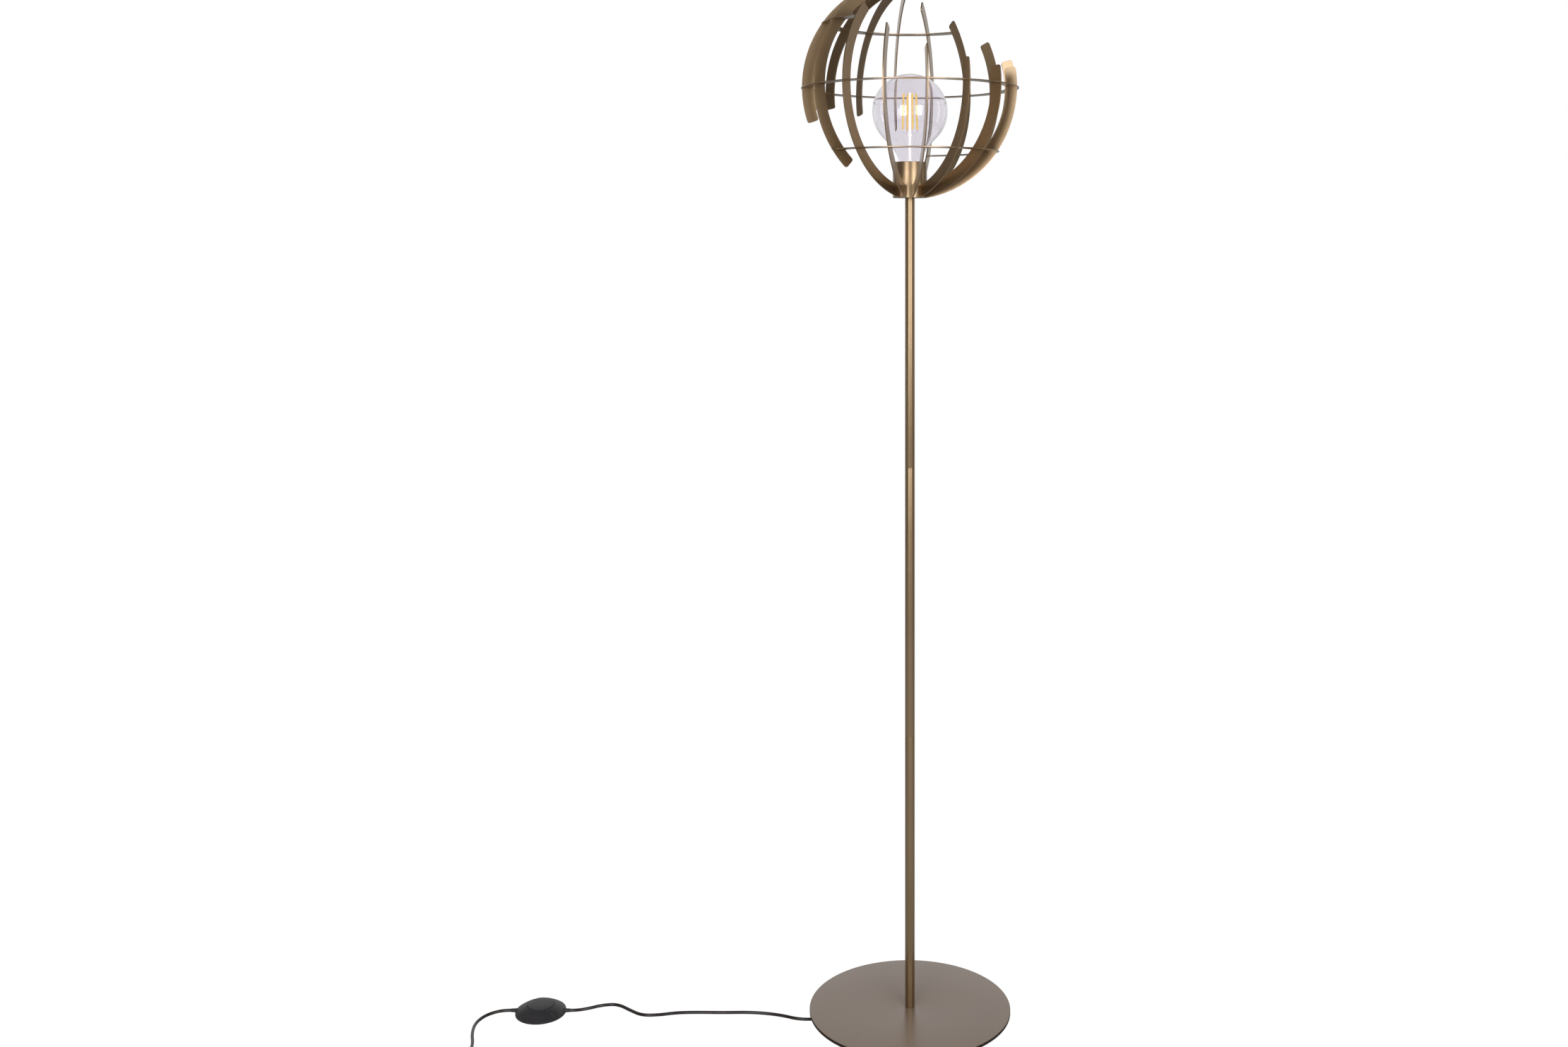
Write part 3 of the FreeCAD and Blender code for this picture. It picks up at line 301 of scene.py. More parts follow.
class Graph:
    """Short ways to add and join the nodes of a tree. graph[label] is an input of its group."""

    def __init__(self, tree):
        self.tree = tree

    def __getitem__(self, label):
        return Term(self, self.given.outputs[label])

    def set(self, node, inputs):
        """Gives a node's inputs their values, or links them to the terms that they come from."""
        for key, value in inputs.items():
            if isinstance(value, Term):
                self.tree.links.new(value.socket, node.inputs[key])
            else:
                node.inputs[key].default_value = value

    def add(self, kind, inputs, **settings):
        node = put(self.tree.nodes.new(kind), **settings)
        self.set(node, inputs)
        return node

    def term(self, kind, output, inputs=None, **settings):
        """Adds a node and returns one of its outputs."""
        return Term(self, self.add(kind, inputs or {}, **settings).outputs[output])

    def math(self, operation, *values, clamp=False):
        given = dict(enumerate(values))
        return self.term("ShaderNodeMath", 0, given, operation=operation, use_clamp=clamp)

    def ramp(self, value, low, high, out_low=0.0, out_high=1.0):
        ends = {"From Min": low, "From Max": high, "To Min": out_low, "To Max": out_high}
        return self.term("ShaderNodeMapRange", "Result", {"Value": value, **ends})

    def blend(self, share, a, b):
        return self.term("ShaderNodeMix", 2, {0: share, 6: a, 7: b}, data_type="RGBA")

    def place(self):
        """A point's place on its own piece."""
        return self.term("ShaderNodeTexCoord", "Object")

    def noise(self, scale, detail):
        given = {"Vector": self.place(), "Scale": scale, "Detail": detail}
        return self.term("ShaderNodeTexNoise", "Fac", given)

    def bump(self, bsdf, height, distance, strength):
        given = {"Height": height, "Distance": distance, "Strength": strength}
        self.set(bsdf, {"Normal": self.term("ShaderNodeBump", "Normal", given)})

    def vector(self, **parts):
        return self.term("ShaderNodeCombineXYZ", 0, parts)


SOCKET_KINDS = {float: "Float", int: "Int", tuple: "Color"}


def group_graph(name, tree_kind, inputs, outputs):
    """An empty node group's graph. Each socket has its default value or the name of its kind."""
    tree = bpy.data.node_groups.new(name, tree_kind)
    for way, sockets in (("INPUT", inputs), ("OUTPUT", outputs)):
        for label, given in sockets.items():
            kind = "NodeSocket" + SOCKET_KINDS.get(type(given), str(given))
            socket = tree.interface.new_socket(label, in_out=way, socket_type=kind)
            if type(given) in SOCKET_KINDS:
                socket.default_value = given
    g = Graph(tree)
    g.given, g.out = g.add("NodeGroupInput", {}), g.add("NodeGroupOutput", {})
    return g


def shader_graph(name, inputs, outputs):
    return group_graph(name, "ShaderNodeTree", inputs, outputs)


def geometry_graph(name, inputs):
    ends = {"Geometry": "Geometry"}
    return group_graph(name, "GeometryNodeTree", {**ends, **inputs, "Material": "Material"}, ends)


# ---- shared shader effects ----
def mottle_group():
    """Soft cloudy change of tone and roughness, with a fine grain for the surface."""
    tones = {"Light": (0.5, 0.5, 0.5, 1), "Dark": (0.3, 0.3, 0.3, 1)}
    scales = {"Cloud Scale": 20.0, "Grain Scale": 900.0}
    rough = {"Roughness": 0.4, "Roughness Change": 0.08}
    outputs = {"Colour": "Color", "Roughness": "Float", "Grain": "Float"}
    g = shader_graph("soft_mottle", {**tones, **scales, **rough}, outputs)
    cloud = g.noise(g["Cloud Scale"], 3.0)
    tone = g.blend(g.ramp(cloud, 0.36, 0.66), g["Dark"], g["Light"])
    change = (cloud - 0.5) * (g["Roughness Change"] * 4.0)
    changed = g.math("ADD", g["Roughness"], change, clamp=True)
    g.set(g.out, {"Colour": tone, "Roughness": changed, "Grain": g.noise(g["Grain Scale"], 2.0)})
    return g.tree


def dust_group():
    """A pale uneven mask where a surface faces up: partly a dusty film, and partly painted light,
    the paler look that a top takes when lit from above.
    """
    g = shader_graph("settled_dust_and_sheen", {"Amount": 0.5, "Scale": 14.0}, {"Mask": "Float"})
    normal = g.term("ShaderNodeNewGeometry", "Normal")
    up = g.ramp(g.term("ShaderNodeSeparateXYZ", "Z", {0: normal}), 0.6, 0.98)
    uneven = g.ramp(g.noise(g["Scale"], 4.0), 0.3, 0.7, 0.85, 1.0)
    g.set(g.out, {"Mask": up * uneven * g["Amount"]})
    return g.tree


def scuff_group():
    """Small scattered marks where a soft surface has rubbed on the floor."""
    g = shader_graph("rub_marks", {"Amount": 0.2, "Scale": 60.0}, {"Mask": "Float"})
    patch = g.ramp(g.noise(g["Scale"], 6.0), 0.52, 0.7)
    given = {"Vector": g.place(), "Scale": g["Scale"] * 9.0}
    fleck = g.ramp(g.term("ShaderNodeTexVoronoi", "Distance", given), 0.3, 0.1)
    g.set(g.out, {"Mask": patch * fleck * g["Amount"]})
    return g.tree


@functools.cache
def shared(effect):
    """Each effect's group is made once, the first time that a material asks for it."""
    makers = {"mottle": mottle_group, "dust": dust_group, "scuffs": scuff_group}
    return makers[effect]()


# ---- materials ----
PAINT_METAL = 0.85  # the rest of the paint is plain pigment


def opaque(rgb):
    return (*rgb, 1.0)


def shade(rgb, share):
    return tuple(c * share for c in rgb)


def new_material(name):
    """An empty material, its graph and its shader."""
    material = bpy.data.materials.new(name)
    material.use_nodes = True
    g = Graph(material.node_tree)
    return material, g, material.node_tree.nodes["Principled BSDF"]


# Each kind of surface: its light and its dark tone, as shares of its colour, the scales of
# its clouds and its grain, its roughness and how much that changes, and its grain's depth.
SURFACES = {
    "paint": (1.0, 1.0, 8.0, 1500.0, 0.34, 0.025, 0.01 * MM),
    "plastic": (1.15, 0.85, 45.0, 1400.0, 0.42, 0.05, 0.03 * MM),
    "rubber": (1.3, 0.8, 120.0, 2500.0, 0.62, 0.08, 0.05 * MM),
    "sheath": (1.35, 0.8, 60.0, 1800.0, 0.27, 0.07, 0.04 * MM),
    "metal": (1.1, 0.8, 90.0, 2200.0, 0.3, 0.08, 0.02 * MM),
    "woven": (1.4, 0.8, 150.0, 1800.0, 0.7, 0.06, 0.0),
    "ceramic": (1.0, 0.93, 60.0, 1500.0, 0.3, 0.05, 0.02 * MM),
    "milky": (1.0, 0.94, 180.0, 1500.0, 0.12, 0.04, 0.0),
    "coating": (1.0, 0.9, 260.0, 1500.0, 0.45, 0.05, 0.03 * MM),
}


def mottled(name, kind, rgb, rough=None, deep=None, more=None):
    """A material of one of these kinds, its graph and its shader.

    It may have its own roughness, its own colour for the dark tone, and more of
    the shader's settings.
    """
    material, g, bsdf = new_material(name)
    light, dark, clouds, grain, usual, change, depth = SURFACES[kind]
    tones = {"Light": opaque(shade(rgb, light)), "Dark": opaque(shade(deep or rgb, dark))}
    scales = {"Cloud Scale": clouds, "Grain Scale": grain}
    roughness = {"Roughness": rough or usual, "Roughness Change": change}
    given = {**tones, **scales, **roughness}
    outputs = g.add("ShaderNodeGroup", given, node_tree=shared("mottle")).outputs
    tone, uneven = Term(g, outputs["Colour"]), Term(g, outputs["Roughness"])
    g.set(bsdf, {"Base Color": tone, "Roughness": uneven, **(more or {})})
    if depth:
        g.bump(bsdf, Term(g, outputs["Grain"]), depth, 0.5)
    return material, g, bsdf


def plain(*given, **more):
    """A material that is one of these kinds of surface and nothing else."""
    return mottled(*given, **more)[0]


def veil(g, bsdf, effect, amount, scale, tint):
    """Lays a pale effect over the base colour, and returns its mask."""
    given = {"Amount": amount, "Scale": scale}
    mask = g.term("ShaderNodeGroup", "Mask", given, node_tree=shared(effect))
    under = Term(g, bsdf.inputs["Base Color"].links[0].from_socket)
    g.set(bsdf, {"Base Color": g.blend(mask, under, opaque(tint))})
    return mask


def satin_brass(name, dust=0.0):
    """The lamp's metalwork: smooth satin brass paint. Where it faces up it can be paler: partly
    dusty, and partly painted light from above with a grazing sheen.
    """
    tint = finish_colours()
    coat = {"Metallic": PAINT_METAL, "Coat Weight": 0.6, "Coat Roughness": 0.22}
    material, g, bsdf = mottled(name, "paint", tint.brass, deep=tint.brass_deep, more=coat)
    if dust:
        mask = veil(g, bsdf, "dust", dust, 12.0, tint.dust)
        g.set(bsdf, {"Metallic": g.math("SUBTRACT", PAINT_METAL, mask, clamp=True)})
    return material


def cord_sheath(name, rgb):
    """Glossy soft sheath with faint waves and scuffs."""
    coat = {"Coat Weight": 0.3, "Coat Roughness": 0.2}
    material, g, bsdf = mottled(name, "sheath", rgb, more=coat)
    veil(g, bsdf, "scuffs", 0.25, 45.0, (0.12, 0.11, 0.1))
    return material


def plated_metal(name, rgb, rough=None):
    return plain(name, "metal", rgb, rough, more={"Metallic": 1.0})


def woven(name, rgb, azimuth):
    """A narrow woven strap: fine crossing threads, turned to the strap's direction."""
    material, g, bsdf = mottled(name, "woven", rgb, more={"Sheen Weight": 0.3})
    turned = g.term("ShaderNodeMapping", 0, {"Vector": g.place(), "Rotation": (0, 0, -azimuth)})
    given = {"Vector": turned, "Scale": 520.0}
    warp, weft = (
        g.term("ShaderNodeTexWave", "Fac", given, bands_direction=way) for way in ("X", "Y")
    )
    g.bump(bsdf, warp + weft, 0.15 * MM, 0.8)
    return material


def clear_glass(name, rgb, rim):
    """Clear glass with a faint grey tint, lighter where it is seen edge on: a painted reflection of
    the light on the globe's edges.
    """
    material, g, bsdf = new_material(name)
    facing = g.term("ShaderNodeLayerWeight", "Facing", {"Blend": 0.5})
    # Painted reflection: the tint turns lighter towards the edges, where glass reflects more light.
    tint = g.blend(g.ramp(facing, 0.35, 0.6), opaque(rgb), opaque(rim))
    g.set(bsdf, {"Base Color": tint, "Roughness": 0.0, "Transmission Weight": 1.0, "IOR": 1.47})
    return material


def milky_glass(name, rgb):
    """Glass that has turned milky where it was melted round the wires. It glows faintly: painted
    light that stands in for the studio light that the globe keeps from it.
    """
    clear = {"Transmission Weight": 0.35, "IOR": 1.5}
    # Painted light: a faint glow for light that the globe's glass keeps from the stem.
    glow = {"Emission Color": opaque(rgb), "Emission Strength": 0.4}
    return plain(name, "milky", rgb, more={**clear, **glow})


def phosphor(name, rgb):
    """The yellow, waxy coating on a filament strip. It glows faintly: painted light that stands in
    for the studio light that the globe keeps from it.
    """
    # Painted light: a faint glow for light that the globe's glass keeps from the strips.
    glow = {"Emission Color": opaque(rgb), "Emission Strength": 0.3}
    return plain(name, "coating", rgb, more={"Subsurface Weight": 0.15, **glow})


@functools.cache
def material_of(finish):
    """Each finish is made once, the first time that a piece asks for it."""
    tint = finish_colours()
    makers = {
        "brass": lambda: satin_brass("satin brass"),
        # The base: brass whose top is paler, partly dusty and partly painted light from above.
        "brass_dusty": lambda: satin_brass("satin brass with dust", 0.7),
        # Painted shade: the base's rim is the same brass paint, darkened because it lies in shade.
        "cut_edge": lambda: plated_metal("dark cut edge", tint.rim, 0.45),
        "strap": lambda: woven("woven strap", (0.02, 0.02, 0.021), TIE_AZIMUTH),
        "steel": lambda: plated_metal("zinc steel", tint.steel),
        "nickel": lambda: plated_metal("bright nickel", (0.68, 0.66, 0.62), 0.18),
        "contact": lambda: plated_metal("contact brass", (0.72, 0.5, 0.22), 0.25),
        "plastic": lambda: plain("dark moulded plastic", "plastic", tint.plastic),
        "mark": lambda: plain("moulding mark", "plastic", (0.11, 0.105, 0.1), 0.5),
        "black_plastic": lambda: plain("black plastic", "plastic", (0.02, 0.02, 0.02), 0.38),
        "rubber": lambda: plain("black rubber", "rubber", (0.018, 0.018, 0.018)),
        "cord": lambda: cord_sheath("cord sheath", tint.cord),
        "wire": lambda: plain("wire sheath", "plastic", (0.12, 0.055, 0.025), 0.5),
        "ceramic": lambda: plain("white ceramic", "ceramic", (0.8, 0.78, 0.73)),
        "black_glass": lambda: plain("black glass", "ceramic", (0.012, 0.012, 0.014)),
        "glass": lambda: clear_glass("globe glass", tint.glass, tint.glass_rim),
        "stem_glass": lambda: milky_glass("stem glass", (0.93, 0.92, 0.9)),
        "phosphor": lambda: phosphor("filament coating", tint.phosphor),
    }
    return makers[finish]()


def dress(finish, *nodes):
    """Gives CAD nodes their finish."""
    for node in nodes:
        mesh = NODES[node].data
        mesh.materials.clear()
        mesh.materials.append(material_of(finish))


def stand_in(piece, slot, *nodes, body=LAMP):
    """Puts a piece in place of CAD nodes, on their body. The slot is not used."""
    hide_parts(*nodes)
    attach(piece, body)


# ---- outlines: lists of (radius, height) points ----
def hoop(inner, outer, low, high):
    """The section of a flat ring or a tube."""
    return [(inner, low), (outer, low), (outer, high), (inner, high)]


def shares(steps):
    """Evenly spaced numbers from 0 to 1."""
    return [k / steps for k in range(steps + 1)]


def arc(centre, radius, start, end, steps):
    """Points of a circle's arc, from start to end degrees."""
    turns = [radians(start + (end - start) * t) for t in shares(steps)]
    return [(centre[0] + radius * cos(a), centre[1] + radius * sin(a)) for a in turns]


def bezier(a, b, c, d, steps):
    """Points of a cubic curve."""
    a, b, c, d = (Vector(p) for p in (a, b, c, d))
    out = []
    for t in shares(steps):
        s = 1 - t
        out.append(tuple(a * s**3 + b * 3 * s * s * t + c * 3 * s * t * t + d * t**3))
    return out


def eased(points, radius, steps=4):
    """A closed outline with each corner off the axis rounded by this radius."""
    out = []
    for k, corner in enumerate(points):
        if corner[0] < 1e-7:
            out.append(corner)
            continue
        here = Vector(corner)
        to_before = Vector(points[k - 1]) - here
        to_after = Vector(points[(k + 1) % len(points)]) - here
        reach = min(radius, 0.45 * to_before.length, 0.45 * to_after.length)
        first = here + to_before.normalized() * reach
        last = here + to_after.normalized() * reach
        for t in shares(steps):
            out.append(tuple(first * (1 - t) ** 2 + here * 2 * t * (1 - t) + last * t**2))
    return out


# ---- mesh tools ----
def polar(radius, angle, height=0.0):
    """A point this far from the Z axis, in this direction, at this height."""
    return Vector((radius * cos(angle), radius * sin(angle), height))


def placed(name, data):
    """A new object in the scene."""
    thing = bpy.data.objects.new(name, data)
    bpy.context.scene.collection.objects.link(thing)
    return thing


def smooth_piece(name, mesh, finish, sharp):
    """A mesh as a piece, smooth but for edges sharper than this many degrees."""
    mesh.name = name
    mesh.shade_smooth()
    mesh.set_sharp_from_angle(angle=radians(sharp))
    if finish:
        mesh.materials.clear()
        mesh.materials.append(material_of(finish))
    return placed(name, mesh)


def mesh_of(name, bm):
    """What was built in a bmesh, as a mesh."""
    mesh = bpy.data.meshes.new(name)
    bm.to_mesh(mesh)
    bm.free()
    return mesh


def built(name, bm, finish, sharp=40):
    """What was built in a bmesh, as a piece with its faces outwards."""
    bmesh.ops.recalc_face_normals(bm, faces=bm.faces)
    return smooth_piece(name, mesh_of(name, bm), finish, sharp)


def made_real(name, holder, finish, sharp):
    """The mesh that an object's curve or modifiers make, as a piece in its place."""
    real = holder.evaluated_get(bpy.context.evaluated_depsgraph_get())
    mesh = bpy.data.meshes.new_from_object(real)
    bpy.data.objects.remove(holder)
    return smooth_piece(name, mesh, finish, sharp)


def bridge(bm, loops, closed=False):
    """Faces from each loop of vertices to the next. A loop of one vertex is a point."""
    pairs = list(zip(loops, loops[1:]))
    if closed:
        pairs.append((loops[-1], loops[0]))
    for low, high in pairs:
        count = max(len(low), len(high))
        for k in range(count):
            n = (k + 1) % count
            corners = [low[k % len(low)], low[n % len(low)]]
            corners += [high[n % len(high)], high[k % len(high)]]
            corners = list(dict.fromkeys(corners))
            if len(corners) > 2:
                bm.faces.new(corners)


def lathe(name, outline, finish, segments=128, sharp=35, closed=True):
    """An outline spun round Z. It is closed, or left open, or starts and ends on the axis."""
    bm = bmesh.new()
    loops = []
    for radius, height in outline:
        count = 1 if radius < 1e-7 else segments
        loops.append([bm.verts.new(polar(radius, TURN * k / count, height)) for k in range(count)])
    on_axis = len(loops[0]) == len(loops[-1]) == 1
    bridge(bm, loops, closed and not on_axis)
    return built(name, bm, finish, sharp)


def joined(name, pieces, sharp=None, weld=0.0):
    """Several pieces as one, with their finishes kept, and welded where they are this close."""
    bm = bmesh.new()
    slots = []
    for piece in pieces:
        mesh = piece.data
        first = len(bm.faces)
        bm.from_mesh(mesh)
        bm.faces.ensure_lookup_table()
        for face in bm.faces[first:]:
            own = mesh.materials[face.material_index]
            if own not in slots:
                slots.append(own)
            face.material_index = slots.index(own)
        bpy.data.objects.remove(piece)
    if weld:
        bmesh.ops.remove_doubles(bm, verts=bm.verts, dist=weld)
        bmesh.ops.recalc_face_normals(bm, faces=bm.faces)
    mesh = mesh_of(name, bm)
    for own in slots:
        mesh.materials.append(own)
    if sharp is None:
        return placed(name, mesh)
    return smooth_piece(name, mesh, None, sharp)


def pipe(name, points, radius, sides, steps):
    """A smooth round curve with these points as its control points."""
    curve = put(bpy.data.curves.new(name, "CURVE"), dimensions="3D", use_fill_caps=True)
    put(curve, bevel_depth=radius, bevel_resolution=sides)
    spline = curve.splines.new("NURBS")
    spline.points.add(len(points) - 1)
    for point, at in zip(spline.points, points):
        point.co = (*at, 1.0)
    put(spline, order_u=3, use_endpoint_u=True, resolution_u=steps)
    return placed(name, curve)


def wire(name, points, radius, finish, sides=3):
    """A round wire along points, as a mesh."""
    return made_real(name, pipe(name, points, radius, sides, 6), finish, 60)


# ---- geometry node tools ----
def unit_grid(g, columns, rows):
    """A grid, and how far along and across it each of its points lies, from 0 to 1."""
    grid = g.add("GeometryNodeMeshGrid", {"Vertices X": columns, "Vertices Y": rows})
    share = g.add("ShaderNodeSeparateXYZ", {0: Term(g, grid.outputs["UV Map"])})
    return Term(g, grid.outputs["Mesh"]), Term(g, share.outputs["X"]), Term(g, share.outputs["Y"])


def wrapped(g, grid, distance, azimuth, height):
    """The grid with its points moved this far from the Z axis, this way, to this height."""
    x, y = (distance * g.math(part, azimuth) for part in ("COSINE", "SINE"))
    place = g.vector(X=x, Y=y, Z=height)
    return g.term("GeometryNodeSetPosition", 0, {"Geometry": grid, "Position": place})


def finish_tree(g, geometry):
    """Every tree ends alike: real mesh, then its material."""
    real = g.term("GeometryNodeRealizeInstances", 0, {"Geometry": geometry})
    given = {"Geometry": real, "Material": g["Material"]}
    g.set(g.out, {"Geometry": g.term("GeometryNodeSetMaterial", 0, given)})
    return g.tree


def grow(name, tree, values, finish):
    """Runs a tree with these inputs and returns its result as a plain mesh piece."""
    holder = placed(name + "_holder", bpy.data.meshes.new(name + "_holder"))
    modifier = holder.modifiers.new("nodes", "NODES")
    modifier.node_group = tree
    sockets = {s.name: s.identifier for s in tree.interface.items_tree if s.in_out == "INPUT"}
    for label, value in {**values, "Material": material_of(finish)}.items():
        modifier[sockets[label]] = value
    return made_real(name, holder, None, 35)


# ---- stage ----
# The camera stands level. Its focal length and the point it looks at are in pixels
# of the 2220 by 1482 photograph.
PHOTO_WIDTH, PHOTO_HEIGHT = 2220, 1482
FOCAL_PX = 2217.0
AIM_PX = (1248.9, 341.0)
CAMERA_PLACE = (-0.0462, -2.604, 1.283)
SENSOR_MM = 36.0

# Tones of the studio: what metal shows of its sides and its back wall, and its soft light.
WHITE = (1, 1, 1, 1)
SIDE_TONE = (0.085, 0.075, 0.07)
WALL_TONE = (0.75, 0.75, 0.75)
ROOM_TONE = (0.42, 0.42, 0.43)
FILL_WAY = (0.6, -0.8, 0)  # the front's soft fill is strongest a little to the right
FLOOR_HALF = 14.0
FLOOR_GLOW = 1.04
GLOW_SHARE = 0.95  # the rest is the lit floor, which keeps the lamp's shadow

LIGHT_AIM = Vector((0, 0, 1.3))
LIGHTS = [  # name, place, width and height, watts
    ("front left softbox", (-0.88, -2.34, 1.45), (0.9, 1.45), 25),
    ("front right softbox", (1.17, -2.21, 1.5), (1.0, 1.3), 23.5),
    ("front fill card", (0.45, -2.3, 1.5), (0.5, 1.2), 1.3),
    ("left strip", (-2.1, 0.35, 1.5), (0.06, 1.6), 1.6),
    ("right strip", (2.1, 0.35, 1.5), (0.06, 1.6), 1.6),
]


def studio_light(name, place, size, watts):
    data = put(bpy.data.lights.new(name, "AREA"), shape="RECTANGLE", energy=watts)
    data.size, data.size_y = size
    aim = (LIGHT_AIM - Vector(place)).to_track_quat("-Z", "Y")
    light = placed(name, data)
    put(light, location=place, rotation_euler=aim.to_euler(), visible_camera=False)


def seen_straight(g):
    """1 for what the camera sees straight or through glass, and 0 for the rest."""
    path = g.add("ShaderNodeLightPath", {}).outputs
    straight, through = Term(g, path["Is Camera Ray"]), Term(g, path["Is Transmission Ray"])
    return g.math("MAXIMUM", straight, through)


def floor_material():
    """Pale floor, near white to the camera also through glass, that keeps the lamp's shadow."""
    material, g, bsdf = new_material("pale floor")
    tint = finish_colours().floor
    cloud = g.ramp(g.noise(2.0, 2.0), 0.3, 0.7)
    tone = g.blend(cloud, opaque(shade(tint, 0.99)), opaque(tint))
    g.set(bsdf, {"Base Color": tone, "Roughness": 0.9, "Specular IOR Level": 0.0})
    glow = g.term("ShaderNodeEmission", 0, {"Color": WHITE, "Strength": FLOOR_GLOW})
    given = {0: seen_straight(g) * GLOW_SHARE, 1: Term(g, bsdf.outputs[0]), 2: glow}
    mixed = g.term("ShaderNodeMixShader", 0, given)
    g.set(material.node_tree.nodes["Material Output"], {"Surface": mixed})
    return material


def studio_world():
    """A studio that is white to the camera, with a pale back wall and dark sides in metal."""
    world = bpy.data.worlds.new("studio")
    world.use_nodes = True
    g = Graph(world.node_tree)
    way = g.term("ShaderNodeTexCoord", "Generated")
    wall = g.ramp(g.term("ShaderNodeSeparateXYZ", "Y", {0: way}), 0.46, 0.88)
    given = {0: way, 1: FILL_WAY}
    towards_fill = g.term("ShaderNodeVectorMath", "Value", given, operation="DOT_PRODUCT")
    front = g.ramp(towards_fill, 0.7, 0.93, 0.0, 0.5)
    mirrored = g.blend(g.math("MAXIMUM", wall, front), opaque(SIDE_TONE), opaque(WALL_TONE))
    glossy = g.term("ShaderNodeLightPath", "Is Glossy Ray")
    soft = g.blend(glossy, opaque(ROOM_TONE), mirrored)
    shown = g.blend(seen_straight(g), soft, WHITE)
    g.set(world.node_tree.nodes["Background"], {"Color": shown, "Strength": 1.0})
    return world


class CAGELAMP_OT_stage(bpy.types.Operator):
    """Sets up the pale floor, the soft studio light and the photograph's camera"""

    bl_idname = "cage_lamp.stage"
    bl_label = "Stage and camera"

    def execute(self, context):
        scene = context.scene
        scene.view_settings.view_transform = "Standard"

        camera = bpy.data.cameras.new("photo camera")
        camera.sensor_width = SENSOR_MM
        camera.lens = SENSOR_MM * FOCAL_PX / PHOTO_WIDTH
        camera.shift_x = (PHOTO_WIDTH / 2 - AIM_PX[0]) / PHOTO_WIDTH
        camera.shift_y = (AIM_PX[1] - PHOTO_HEIGHT / 2) / PHOTO_WIDTH
        scene.camera = placed("photo camera", camera)
        put(scene.camera, location=CAMERA_PLACE, rotation_euler=(radians(90), 0, 0))

        bm = bmesh.new()
        bmesh.ops.create_grid(bm, x_segments=8, y_segments=8, size=FLOOR_HALF)
        mesh = mesh_of("floor", bm)
        mesh.materials.append(floor_material())
        placed("floor", mesh)

        for light in LIGHTS:
            studio_light(*light)
        scene.world = studio_world()
        return {"FINISHED"}


# ---- base, pole and cup ----
class CAGELAMP_OT_base(bpy.types.Operator):
    """Makes the flat round base, and dresses its rubber feet and its clamp"""

    bl_idname = "cage_lamp.base"
    bl_label = "Base"

    def execute(self, context):
        radius = span("base_plate")[1].x
        outline = hoop(NIPPLE_RADIUS, radius, *levels("base_plate"))
        # Its top is paler: partly dusty, partly painted light from above.
        plate = lathe("base_disc", eased(outline, sizes().base_edge), "brass_dusty", 256)
        # Faces round the rim get a dark second material: painted shade, as the rim is the same
        # paint as the top.
        plate.data.materials.append(material_of("cut_edge"))
        for face in plate.data.polygons:
            if abs(face.normal.z) < 0.5 and face.center.to_2d().length > radius / 2:
                face.material_index = 1
        stand_in(plate, "brass_paint", "base_plate")
        dress("rubber", "base_feet")
        dress("black_plastic", "cord_clamp")
        dress("steel", "clamp_screws")
        return {"FINISHED"}


class CAGELAMP_OT_pole(bpy.types.Operator):
    """Makes the three tubes of the pole, with fine seams between them"""

    bl_idname = "cage_lamp.pole"
    bl_label = "Pole"

    def execute(self, context):
        inner = width("pole_inserts") / 2
        for node in ("pole_lower", "pole_middle", "pole_upper"):
            outline = hoop(inner, width(node) / 2, *levels(node))
            tube = lathe(node + "_tube", eased(outline, TUBE_EDGE), "brass", 64)
            stand_in(tube, "brass_paint", node)
        dress("steel", "pole_inserts", "threaded_nipples")
        dress("wire", "pole_wires")
        return {"FINISHED"}


class CAGELAMP_OT_cup(bpy.types.Operator):
    """Makes the socket cup and dresses the lampholder in it"""

    bl_idname = "cage_lamp.cup"
    bl_label = "Cup and lampholder"

    def execute(self, context):
        low, high = levels("socket_cup")
        floor, inner = levels("cup_washer")[0], CUP_RADIUS - CUP_WALL
        outline = [(NIPPLE_RADIUS, low), (CUP_RADIUS, low), (CUP_RADIUS, high)]
        outline += [(inner, high), (inner, floor), (NIPPLE_RADIUS, floor)]
        cup = lathe("socket_cup_shell", eased(outline, CUP_EDGE), "brass")
        stand_in(cup, "brass_paint", "socket_cup")
        dress("steel", "cup_washer", "cup_nut")
        dress("black_plastic", "lampholder_cap", "lampholder_skirt")
        dress("ceramic", "lampholder_block")
        dress("contact", "lampholder_liner", "centre_contact")
        return {"FINISHED"}


# ---- cage ----
def rib_azimuth(index):
    """A rib's direction, anticlockwise from +X, in degrees."""
    return RIB_FIRST - 90 + index * 360 / len(RIBS)


def rib_meets(index, rise):
    """Whether a rib reaches the level this far above the cage's centre."""
    side, tip = RIBS[index]
    level = degrees(asin(rise / RIB_OUTER))
    return level < tip if side == RISE else level > tip


